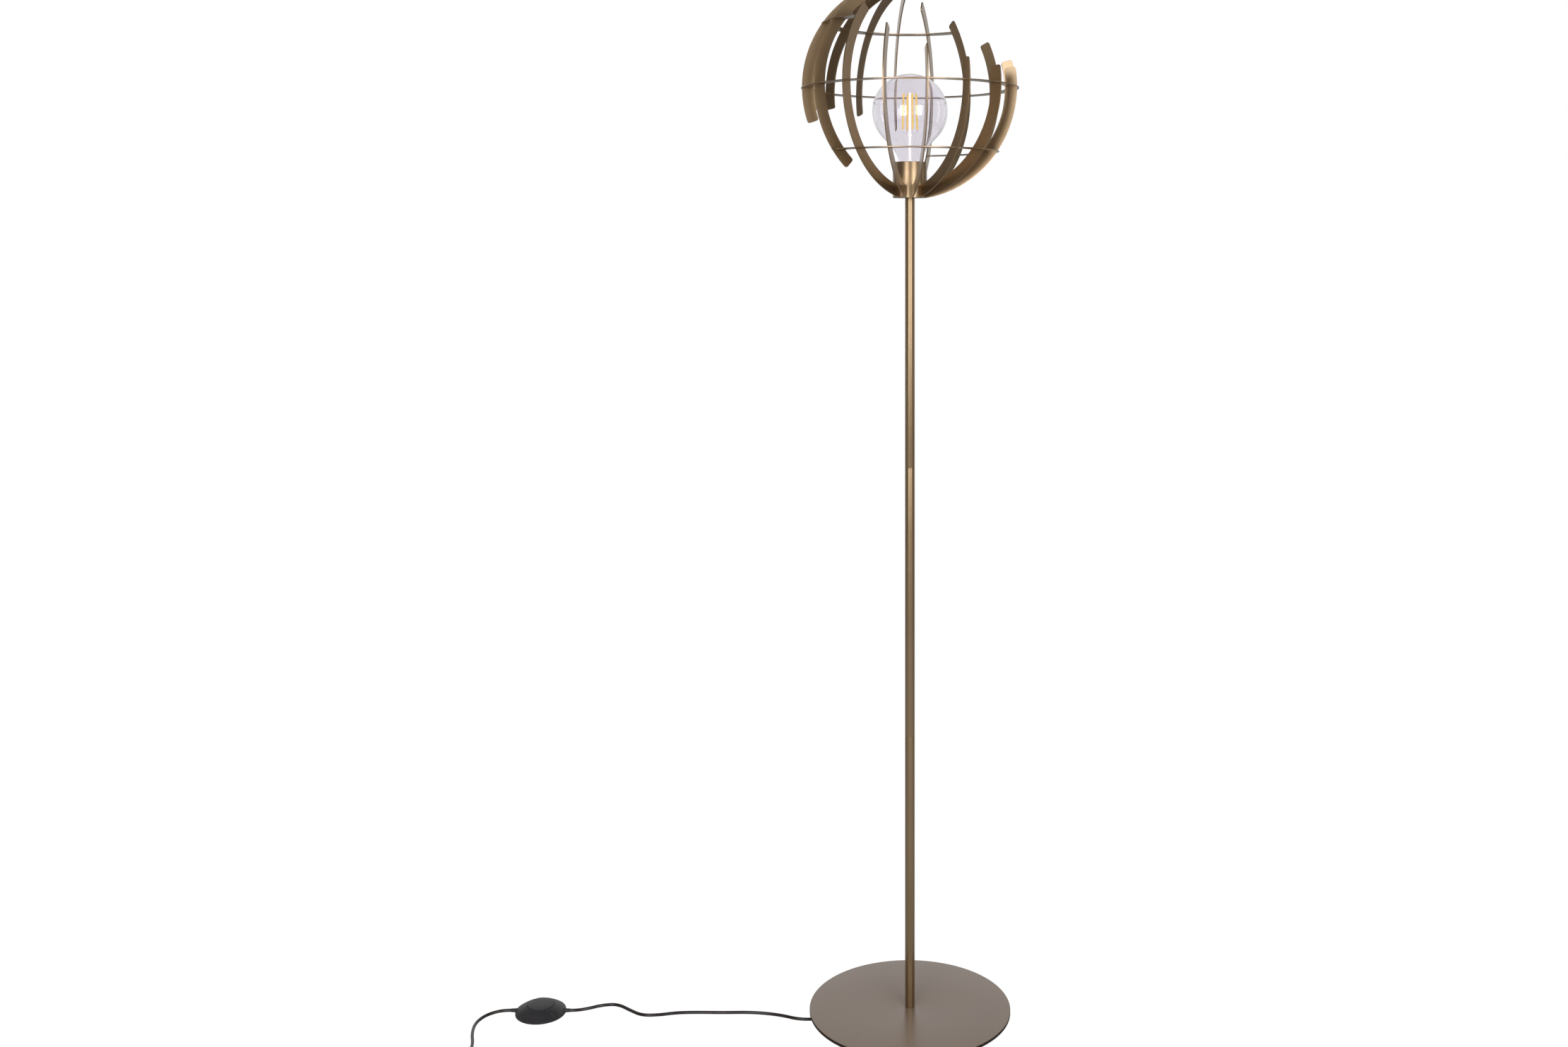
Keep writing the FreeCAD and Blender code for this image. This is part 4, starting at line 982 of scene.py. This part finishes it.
def rib_tree():
    """A flat rib: an arc of a ring, from its foot on the cup or hub to a tip with round corners."""
    arc_given = {"Inner": 0.16, "Outer": 0.18, "Offset": 0.005, "Centre Height": 1.5}
    own_given = {"Azimuth": 0.0, "Side": -1.0, "Tip": 0.5, "Foot": 0.03, "Corner": 0.004}
    g = geometry_graph("cage_rib", {**arc_given, **own_given})
    inner, outer, offset = g["Inner"], g["Outer"], g["Offset"]
    corner, side = g["Corner"], g["Side"]
    grid, along, over = unit_grid(g, 65, 17)
    wave = g.math("COSINE", over * pi)
    across = g.math("MULTIPLY_ADD", wave, -0.5, 0.5)  # rows lie closer together at both edges
    radius = inner + across * (outer - inner)
    foot = g.math("ARCCOSINE", (g["Foot"] + offset) / radius) * side
    edge = g.math("MINIMUM", radius - inner, outer - radius)
    short = g.math("MAXIMUM", corner - edge, 0.0)
    square = g.math("MAXIMUM", corner * corner - short * short, 0.0)
    inset = corner - g.math("SQRT", square)
    tip = g["Tip"] + side * (inset / radius)
    angle = foot + along * (tip - foot)
    distance = radius * g.math("COSINE", angle) - offset
    height = radius * g.math("SINE", angle) + g["Centre Height"]
    return finish_tree(g, wrapped(g, grid, distance, g["Azimuth"], height))


def ring_tree():
    """A flat level ring, or a part of one."""
    size = {"Inner": 0.16, "Outer": 0.18, "Height": 1.5}
    g = geometry_graph("cage_ring", {"Start": 0.0, "Sweep": TURN, **size})
    grid, along, across = unit_grid(g, 193, 3)
    angle = g["Start"] + along * g["Sweep"]
    radius = g["Inner"] + across * (g["Outer"] - g["Inner"])
    band = wrapped(g, grid, radius, angle, g["Height"])
    given = {"Geometry": band, "Distance": 1e-5}
    return finish_tree(g, g.term("GeometryNodeMergeByDistance", 0, given))


def plate_of(flat, thickness):
    """Gives a flat shape its thickness and softly rounded edges."""
    put(flat.modifiers.new("thickness", "SOLIDIFY"), thickness=thickness, offset=0)
    flat.data.shade_smooth()
    edge = flat.modifiers.new("edge", "BEVEL")
    put(edge, width=sizes().cut_edge, segments=2, harden_normals=True)
    put(edge, limit_method="ANGLE", angle_limit=radians(40))
    return flat


class CAGELAMP_OT_cage(bpy.types.Operator):
    """Makes the flat ribs and the rings of the cage, and dresses its hub"""

    bl_idname = "cage_lamp.cage"
    bl_label = "Cage"

    def execute(self, context):
        tree = rib_tree()
        common = {"Inner": RIB_INNER, "Outer": RIB_OUTER, "Offset": ARC_OFFSET}
        common |= {"Corner": RIB_CORNER, "Centre Height": CAGE_CENTRE}
        for index, (side, tip) in enumerate(RIBS):
            foot = CUP_RADIUS if side == RISE else HUB_RADIUS
            own = {"Side": float(side), "Tip": radians(tip), "Foot": foot}
            own["Azimuth"] = radians(rib_azimuth(index))
            node = f"rib_{index + 1:02d}"
            rib = plate_of(grow(node + "_plate", tree, {**common, **own}, "brass"), RIB_THICK)
            stand_in(rib, "brass_paint", node)

        tree = ring_tree()
        for node in ("ring_upper", "ring_equator", "ring_lower"):
            height = middle(node).z
            rise = height - CAGE_CENTRE
            held = [k for k in range(len(RIBS)) if rib_meets(k, rise)]
            inner, outer = (sqrt(r**2 - rise**2) - ARC_OFFSET for r in (RIB_INNER, RIB_OUTER))
            start, sweep = 0.0, TURN
            if len(held) < len(RIBS):
                half = RIB_THICK / (inner + outer)
                first = next(k for k in held if not rib_meets(k - 1, rise))
                start = radians(rib_azimuth(first)) - half
                sweep = TURN * (len(held) - 1) / len(RIBS) + 2 * half
            own = {"Start": start, "Sweep": sweep, "Height": height}
            own |= {"Inner": inner, "Outer": outer + RING_PROUD}
            ring = plate_of(grow(node + "_band", tree, own, "brass"), RING_THICK)
            stand_in(ring, "brass_paint", node)
        dress("brass", "crown_hub")
        return {"FINISHED"}


# ---- bulb ----
def globe_line(inset):
    """The glass's outline from the top to the cap, this far inside the outside."""
    globe = arc((0, GLOBE_CENTRE), GLOBE_RADIUS - inset, 90, -SWELL_ANGLE, 44)
    low = radians(SWELL_ANGLE)
    leave = Vector((-sin(low), -cos(low)))
    neck = Vector((NECK_RADIUS - inset, CAP_HIGH + SHOULDER_HEIGHT))
    swell = Vector(globe[-1])
    reach = (swell - neck).length
    bend = neck + Vector((0.02, 0.3)) * reach
    throat = bezier(swell, swell + leave * 0.36 * reach, bend, neck, 22)
    seat = Vector((CAP_RADIUS - CAP_SEAT - inset, CAP_HIGH))
    below_neck, above_seat = neck - Vector((0, 3.2 * MM)), seat + Vector((2.6 * MM, 1.0 * MM))
    shoulder = bezier(neck, below_neck, above_seat, seat, 8)
    return [(0.0, globe[0][1]), *globe[1:], *throat[1:], *shoulder[1:], (seat.x, GLASS_LOW)]


def strip_tree():
    """Filament strips that stand in a ring and lean inwards at the top."""
    ring = {"Count": STRIP_COUNT, "Ring Radius": 0.012, "Lean": 0.002, "First Turn": 0.0}
    g = geometry_graph("filament_strips", {**ring, "Low": 1.4, "High": 1.5, "Radius": 0.001})
    half_lean = g["Lean"] * 0.5
    start = g.vector(X=g["Ring Radius"] + half_lean, Z=g["Low"])
    end = g.vector(X=g["Ring Radius"] - half_lean, Z=g["High"])
    line = g.term("GeometryNodeCurvePrimitiveLine", 0, {"Start": start, "End": end})
    section = {"Resolution": 20, "Radius": g["Radius"]}
    profile = g.term("GeometryNodeCurvePrimitiveCircle", 0, section)
    given = {"Curve": line, "Profile Curve": profile, "Fill Caps": True}
    rod = g.term("GeometryNodeCurveToMesh", 0, given)
    spots = g.term("GeometryNodeMeshLine", 0, {"Count": g["Count"], "Offset": (0, 0, 0)})
    share = g.term("GeometryNodeInputIndex", 0) / g["Count"]
    angle = g.vector(Z=share * TURN + g["First Turn"])
    given = {"Points": spots, "Instance": rod, "Rotation": angle}
    return finish_tree(g, g.term("GeometryNodeInstanceOnPoints", 0, given))


def filament_strips():
    """The coated strips, with bare metal ends."""
    s, tree, pieces = sizes(), strip_tree(), []
    ring = {"Count": STRIP_COUNT, "Ring Radius": STRIP_RING, "Lean": s.strip_lean}
    ring["First Turn"] = STRIP_FIRST
    for name, finish, bare, radius in (
        ("bulb_strips", "phosphor", TIP_LENGTH, s.strip_radius),
        ("bulb_strip_tips", "nickel", 0.0, TIP_SHARE * s.strip_radius),
    ):
        rods = {"Low": STRIP_LOW + bare, "High": STRIP_HIGH - bare, "Radius": radius}
        pieces.append(grow(name, tree, {**ring, **rods}, finish))
    return joined("bulb_filament_strips", pieces)


def stem_line():
    """The stem's outline: a flared foot, a rod, a bead round the wires, and a round head."""
    low, high = levels("bulb_stem")
    foot, rod, bead = width("bulb_stem") / 2, STEM_RADIUS, BEAD_HEIGHT
    flare = [(foot - 0.8 * MM, low + 2 * MM), (rod + 1.5 * MM, low + 5 * MM)]
    flare += [(rod, low + 7 * MM), (rod, low + 15 * MM)]
    into_bead = [(rod, bead - 5 * MM), (rod, bead - 2 * MM)]
    into_bead += [(BEAD_RADIUS, bead - 3 * MM), (BEAD_RADIUS, bead)]
    out_of_bead = [(BEAD_RADIUS, bead), (BEAD_RADIUS, bead + 3 * MM)]
    out_of_bead += [(HEAD_RADIUS, bead + 2 * MM), (HEAD_RADIUS, bead + 5 * MM)]
    head = arc((0, high - HEAD_RADIUS), HEAD_RADIUS, 0, 90, 6)
    outline = [(0.0, low), (foot, low), (foot - 0.6 * MM, low + 1.6 * MM), *bezier(*flare, 10)]
    return outline + bezier(*into_bead, 6) + bezier(*out_of_bead, 6)[1:] + head[:-1] + [(0.0, high)]


def support_wires():
    """Bent wires from the stem's bead and its head to the strips' ends."""
    s, up = sizes(), Vector((0, 0, 1))
    wires = []
    for k in range(STRIP_COUNT):
        out = polar(1, STRIP_FIRST + k * TURN / STRIP_COUNT)
        foot = out * (STRIP_RING + s.strip_lean / 2) + up * STRIP_LOW
        head = out * (STRIP_RING - s.strip_lean / 2) + up * STRIP_HIGH
        root = out * STEM_RADIUS * 1.5 + up * BEAD_HEIGHT
        top = out * STEM_RADIUS * 0.6 + up * (STRIP_HIGH - 1.0 * MM)
        lower = [root, root.lerp(foot, 0.4) - up * 1.2 * MM, foot - up * 1.2 * MM, foot]
        upper = [top, top.lerp(head, 0.5) + up * 1.6 * MM, head + up * 0.8 * MM, head]
        wires.append(wire(f"lower_{k}", lower, s.support_radius, "nickel"))
        wires.append(wire(f"upper_{k}", upper, s.support_radius, "nickel"))
    return joined("bulb_support_wires", wires)


def round_thread(name, root, low, high, finish):
    """A round thread on a tube, with its ridge as one helix that fades at both ends."""
    rows = 12 * round((high - low) / THREAD_PITCH)
    bm = bmesh.new()
    loops = []
    for share in shares(rows):
        rise = (high - low) * share
        fade = min(1.0, 2 * rise / THREAD_PITCH, 2 * (high - low - rise) / THREAD_PITCH)
        loop = []
        for k in range(CAP_SIDES):
            turn = k / CAP_SIDES
            wave = 0.5 - 0.5 * cos(TURN * (rise / THREAD_PITCH - turn))
            radius = root + THREAD_DEPTH * wave * fade
            loop.append(bm.verts.new(polar(radius, TURN * turn, low + rise)))
        loops.append(loop)
    bridge(bm, loops)
    return built(name, bm, finish, 60)


def screw_cap():
    """The cap: its thread, the plain band above it, and the inside of both."""
    low, high, lip = CAP_LOW, CAP_HIGH, CAP_HIGH - CAP_LIP
    root = CAP_RADIUS - THREAD_DEPTH
    inner, inner_root = CAP_RADIUS - CAP_WALL, root - CAP_WALL
    outline = [(root, lip), (CAP_RADIUS, lip), (CAP_RADIUS, high), (inner, high)]
    outline += [(inner, lip + CAP_WALL), (inner_root, lip + CAP_WALL)]
    outline += [(inner_root, low + CAP_WALL), (0.0, low + CAP_WALL), (0.0, low), (root, low)]
    shell = lathe("shell", outline, "nickel", CAP_SIDES, closed=False)
    thread = round_thread("thread", root, low, lip, "nickel")
    return joined("bulb_screw_cap", [thread, shell], sharp=50, weld=0.01 * MM)


class CAGELAMP_OT_bulb(bpy.types.Operator):
    """Makes the clear globe bulb: glass, stem, filament strips, support wires and screw cap"""

    bl_idname = "cage_lamp.bulb"
    bl_label = "Globe bulb"

    def execute(self, context):
        outline = globe_line(0.0) + globe_line(sizes().glass_wall)[::-1]
        globe = lathe("bulb_globe", outline, "glass", 128, 60)
        stand_in(globe, "clear_glass", "bulb_glass", body=BULB)
        stand_in(filament_strips(), "filament", "bulb_filaments", body=BULB)
        stem = lathe("bulb_stem_glass", stem_line(), "stem_glass", 48, 60)
        stand_in(stem, "clear_glass", "bulb_stem", body=BULB)
        stand_in(support_wires(), "bulb_metal", "bulb_frame", body=BULB)
        stand_in(screw_cap(), "bulb_metal", "bulb_cap", body=BULB)
        dress("black_glass", "bulb_insulator")
        dress("contact", "bulb_contact")
        return {"FINISHED"}


# ---- foot switch ----
def at_switch(piece):
    """Moves a piece that was turned round the origin to the switch's middle."""
    piece.data.transform(Matrix.Translation((SWITCH_X, SWITCH_Y, 0)))
    return piece


def cover_point(share):
    """A point of the cover's dome: at the button's mouth for 0, and at the rim for 1."""
    rim = Vector((SWITCH_RADIUS, SWITCH_RIM))
    mouth = Vector((BUTTON_RADIUS + BUTTON_GAP, SWITCH_TOP))
    way = mouth.lerp(rim, share)
    return way.x, way.y + COVER_BULGE * sin(pi * share)


def parting_mark():
    """A fine raised line, lighter than the cover, on the cover's front right, from near the button
    to the rim.
    """
    spots = [cover_point(0.42 + 0.5 * share) for share in shares(4)]
    points = [polar(radius, MARK_AZIMUTH, height - 0.1 * MM) for radius, height in spots]
    return wire("mark", points, MARK_RADIUS, "mark", 2)


def switch_cover():
    dome = [cover_point(share) for share in shares(12)]
    under = [(x - 0.4 * COVER_WALL, z - COVER_WALL) for x, z in dome[::-1]]
    inner = SWITCH_RADIUS - COVER_WALL
    rim = [(SWITCH_RADIUS, 0.0), (inner, 0.0), (inner, SWITCH_RIM - COVER_WALL / 2)]
    mouth = (dome[0][0], dome[0][1] - MOUTH_DEPTH)
    outline = eased([*dome, *rim, *under[1:-1], mouth], SWITCH_EDGE)
    return joined("switch_cover_shell", [lathe("shell", outline, "plastic"), parting_mark()], 35)


def switch_button():
    """The button with its low crown, its flange under the cover, and its plunger."""
    edge, bottom = BUTTON_HIGH - BUTTON_CROWN, FLANGE_TOP - FLANGE_THICK
    under, inner = edge - BUTTON_WALL, BUTTON_RADIUS - BUTTON_WALL
    outline = [(0.0, BUTTON_HIGH)]
    for share in (0.25, 0.5, 0.7, 0.85, 0.97):
        outline.append((BUTTON_RADIUS * share, BUTTON_HIGH - BUTTON_CROWN * share**2.4))
    outline += [(BUTTON_RADIUS, edge - 0.7 * MM), (BUTTON_RADIUS, FLANGE_TOP)]
    outline += [(FLANGE_RADIUS, FLANGE_TOP), (FLANGE_RADIUS, bottom), (inner, bottom)]
    outline += [(inner, under), (PLUNGER_RADIUS, under), (PLUNGER_RADIUS, BUTTON_LOW)]
    outline += [(0.0, BUTTON_LOW)]
    return lathe("switch_button_cap", eased(outline, BUTTON_EDGE), "plastic", 96)


def return_spring():
    """The coil spring under the button, at its resting length; the real one shortens as the button
    goes down.
    """
    low, high = levels("switch_spring")
    radius = (width("switch_spring") / 2 - SPRING_WIRE) / cos(pi / SPRING_STEPS)
    start, rise = low + SPRING_WIRE, high - low - 2 * SPRING_WIRE
    spots = shares(SPRING_TURNS * SPRING_STEPS)
    points = [polar(radius, TURN * SPRING_TURNS * t, start + rise * t) for t in spots]
    spring = at_switch(wire("switch_spring_coil", points, SPRING_WIRE, "steel"))
    stand_in(spring, "zinc_steel", "switch_spring")
    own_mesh(spring)


class CAGELAMP_OT_switch(bpy.types.Operator):
    """Makes the foot switch's cover, button and spring, and dresses its inner pieces"""

    bl_idname = "cage_lamp.switch"
    bl_label = "Foot switch"

    def execute(self, context):
        stand_in(at_switch(switch_cover()), "black_plastic", "switch_cover")
        stand_in(at_switch(switch_button()), "black_plastic", "switch_button", body=BUTTON)
        return_spring()
        dress("black_plastic", "switch_base")
        dress("plastic", "switch_reliefs")
        dress("steel", "switch_screws")
        dress("ceramic", "switch_block")
        dress("contact", "switch_contacts")
        dress("wire", "switch_wires")
        return {"FINISHED"}


# ---- cord, coil, tie and plug ----
def coil_points():
    """The coil's turns: in at a steady rate below, up a layer, and out again above."""
    all_turns = COIL_TURNS_IN + COIL_TURNS_OUT
    grow_out = 1 / cos(pi / COIL_STEPS)  # the spline cuts inside its points
    points = []
    for share in shares(round(COIL_STEPS * all_turns)):
        turns = all_turns * share - COIL_TURNS_IN
        radius = (COIL_INNER + COIL_PITCH * abs(turns)) * grow_out
        climb = min(max(turns * 2 + 0.5, 0.0), 1.0)
        height = COIL_LOW + COIL_PITCH * (3 * climb**2 - 2 * climb**3)
        angle = COIL_START + TURN * all_turns * share
        points.append(COIL_CENTRE + polar(radius, angle, height))
    return points


def cord_curve(name, points, *nodes):
    """A cord along these points, in place of the CAD's."""
    cord = pipe(name, points, sizes().cord_diameter / 2, 5, 8)
    cord.data.materials.append(material_of("cord"))
    stand_in(cord, "cord_sheath", *nodes)
    return cord


def plug_start():
    low, centre = span("plug_body")[0], middle("plug_body")
    return Vector((low.x, centre.y, centre.z))


def plug_sections():
    """The plug from back to front: (distance along, half width, half thickness, squareness)."""
    low, high = span("plug_body")
    length, wide, thick = high.x - low.x, (high.y - low.y) / 2, (high.z - low.z) / 2
    sections = []
    for share in shares(44):
        ripple = max(0.0, sin(TURN * PLUG_RINGS * share)) * min(1.0, 4 * (1 - share))
        radius = NOSE_BACK + (NOSE_FRONT - NOSE_BACK) * share - RING_DEPTH * ripple
        sections.append((PLUG_NOSE * share, radius, radius, ROUND))
    for share in shares(10)[1:]:
        ease = sin(pi / 2 * share)
        half_wide, half_thick = (NOSE_FRONT + (half - NOSE_FRONT) * ease for half in (wide, thick))
        along, square = PLUG_NOSE + PLUG_TAPER * share**1.4, ROUND + (BOXY - ROUND) * share
        sections.append((along, half_wide, half_thick, square))
    start = PLUG_NOSE + PLUG_TAPER + 2 * MM
    for share in shares(80):
        groove = GRIP_DEPTH * max(0.0, sin(TURN * PLUG_GRIPS * share)) ** 0.7
        along = start + (length - PLUG_FRONT - start) * share
        sections.append((along, wide - groove, thick, BOXY))
    for back, inset in ((1.6, 0.0), (0.9, 0.15), (0.4, 0.45), (0.1, 0.9), (0.0, 1.4)):
        sections.append((length - back * MM, wide - inset * MM, thick - inset * MM, BOXY))
    return sections


def plug_shell():
    """The moulded plug body, lofted through its sections."""
    start = plug_start()
    bm = bmesh.new()
    loops = []
    for along, half_wide, half_thick, square in plug_sections():
        loop = []
        for k in range(PLUG_SIDES):
            x, y, _ = polar(1, TURN * k / PLUG_SIDES)
            y_out = copysign(abs(x) ** (2 / square), x) * half_wide
            z_out = copysign(abs(y) ** (2 / square), y) * half_thick
            loop.append(bm.verts.new(start + Vector((along, y_out, z_out))))
        loops.append(loop)
    bridge(bm, loops)
    bm.faces.new(loops[0])
    bm.faces.new(loops[-1])
    return built("plug_shell", bm, "black_plastic")


def strap_loop(inner, outer, top):
    """A thin band round the turns from the inner to the outer radius, with round bends."""
    bm = bmesh.new()
    lines = []
    for grown, bend in ((TIE_THICK, TIE_ROUND), (0.0, TIE_ROUND - TIE_THICK)):
        left, right = inner - grown + bend, outer + grown - bend
        low, high = TIE_THICK - grown + bend, top + grown - bend
        corners = [((right, high), 0), ((left, high), 90), ((left, low), 180), ((right, low), 270)]
        lines.append([p for centre, a in corners for p in arc(centre, bend, a, a + 90, 8)])
    loops = [
        [bm.verts.new((x, side * TIE_WIDTH, z)) for x, z in line]
        for side, line in ((-0.5, lines[0]), (0.5, lines[0]), (0.5, lines[1]), (-0.5, lines[1]))
    ]
    bridge(bm, loops, closed=True)
    return built("loop", bm, "strap")


def strap_lap(centre, top):
    """The strap's end, laid back over it, with its tip pressed thin."""
    back, front, high = centre - 6 * MM, centre + 8 * MM, top + 2 * TIE_THICK
    line = [(back, top), (front, top), (front, top + TIE_THICK), (front, high)]
    line += [(back + 1 * MM, high), (back, top + 1.2 * TIE_THICK)]
    bm = bmesh.new()
    near, far = ([bm.verts.new((x, side * LAP_WIDTH, z)) for x, z in line] for side in (-0.5, 0.5))
    bridge(bm, [near, far])
    bm.faces.new(near)
    bm.faces.new(far[::-1])
    return built("lap", bm, "strap")


def tie_strap():
    """A thin strap round all the turns, with its end laid back over it."""
    inner = COIL_INNER - CORD_ROOM
    outer = COIL_INNER + max(COIL_TURNS_IN, COIL_TURNS_OUT) * COIL_PITCH + CORD_ROOM
    top = COIL_LOW + COIL_PITCH + CORD_ROOM
    loop, lap = strap_loop(inner, outer, top), strap_lap((inner + outer) / 2, top)
    strap = joined("tie_strap", [loop, lap])
    turned = Matrix.Rotation(TIE_AZIMUTH, 4, "Z")
    strap.data.transform(Matrix.Translation(COIL_CENTRE) @ turned)
    return strap


class CAGELAMP_OT_cord(bpy.types.Operator):
    """Lays the cord from the base to the foot switch, and on to its coil, tie and plug"""

    bl_idname = "cage_lamp.cord"
    bl_label = "Cord, coil and plug"

    def execute(self, context):
        lamp_side = cord_curve("cord_to_switch", LAMP_SIDE, "cord_lamp_side")
        turns = coil_points()
        lead_in = turns[0] + Vector((0, COIL_LEAD, 0))
        points = [*PLUG_SIDE, lead_in, *turns[1:], plug_start()]
        plug_side = cord_curve("cord_to_plug", points, "cord_plug_side", "cord_coil")
        tie, plug = tie_strap(), plug_shell()
        stand_in(tie, "rubber", "cord_tie")
        stand_in(plug, "black_plastic", "plug_body")
        dress("nickel", "plug_pins")
        return {"FINISHED"}


# ---- panel and registration ----
STEPS = [
    CAGELAMP_OT_stage,
    CAGELAMP_OT_cord,
    CAGELAMP_OT_base,
    CAGELAMP_OT_pole,
    CAGELAMP_OT_cup,
    CAGELAMP_OT_cage,
    CAGELAMP_OT_bulb,
    CAGELAMP_OT_switch,
]


class CAGELAMP_PT_panel(bpy.types.Panel):
    """Lists the lamp's sizes, colours and build steps"""

    bl_idname = "CAGELAMP_PT_panel"
    bl_label = "Cage lamp"
    bl_space_type = "VIEW_3D"
    bl_region_type = "UI"
    bl_category = "Cage lamp"

    def draw(self, context):
        for group in (context.scene.cage_lamp_sizes, context.scene.cage_lamp_finish):
            for key in group.bl_rna.properties.keys():
                if key not in {"name", "rna_type"}:
                    self.layout.prop(group, key)
        for step in STEPS:
            self.layout.operator(step.bl_idname)


CLASSES = [CAGELAMP_PG_sizes, CAGELAMP_PG_finish, *STEPS, CAGELAMP_PT_panel]


def register():
    for cls in CLASSES:
        bpy.utils.register_class(cls)
    bpy.types.Scene.cage_lamp_sizes = bpy.props.PointerProperty(type=CAGELAMP_PG_sizes)
    bpy.types.Scene.cage_lamp_finish = bpy.props.PointerProperty(type=CAGELAMP_PG_finish)


def unregister():
    del bpy.types.Scene.cage_lamp_finish
    del bpy.types.Scene.cage_lamp_sizes
    for cls in reversed(CLASSES):
        bpy.utils.unregister_class(cls)


def corners(box):
    return [[float(v) for v in corner] for corner in box]


def main():
    register()
    for step in STEPS:
        group, action = step.bl_idname.split(".")
        getattr(getattr(bpy.ops, group), action)()


if __name__ == "__main__":
    main()
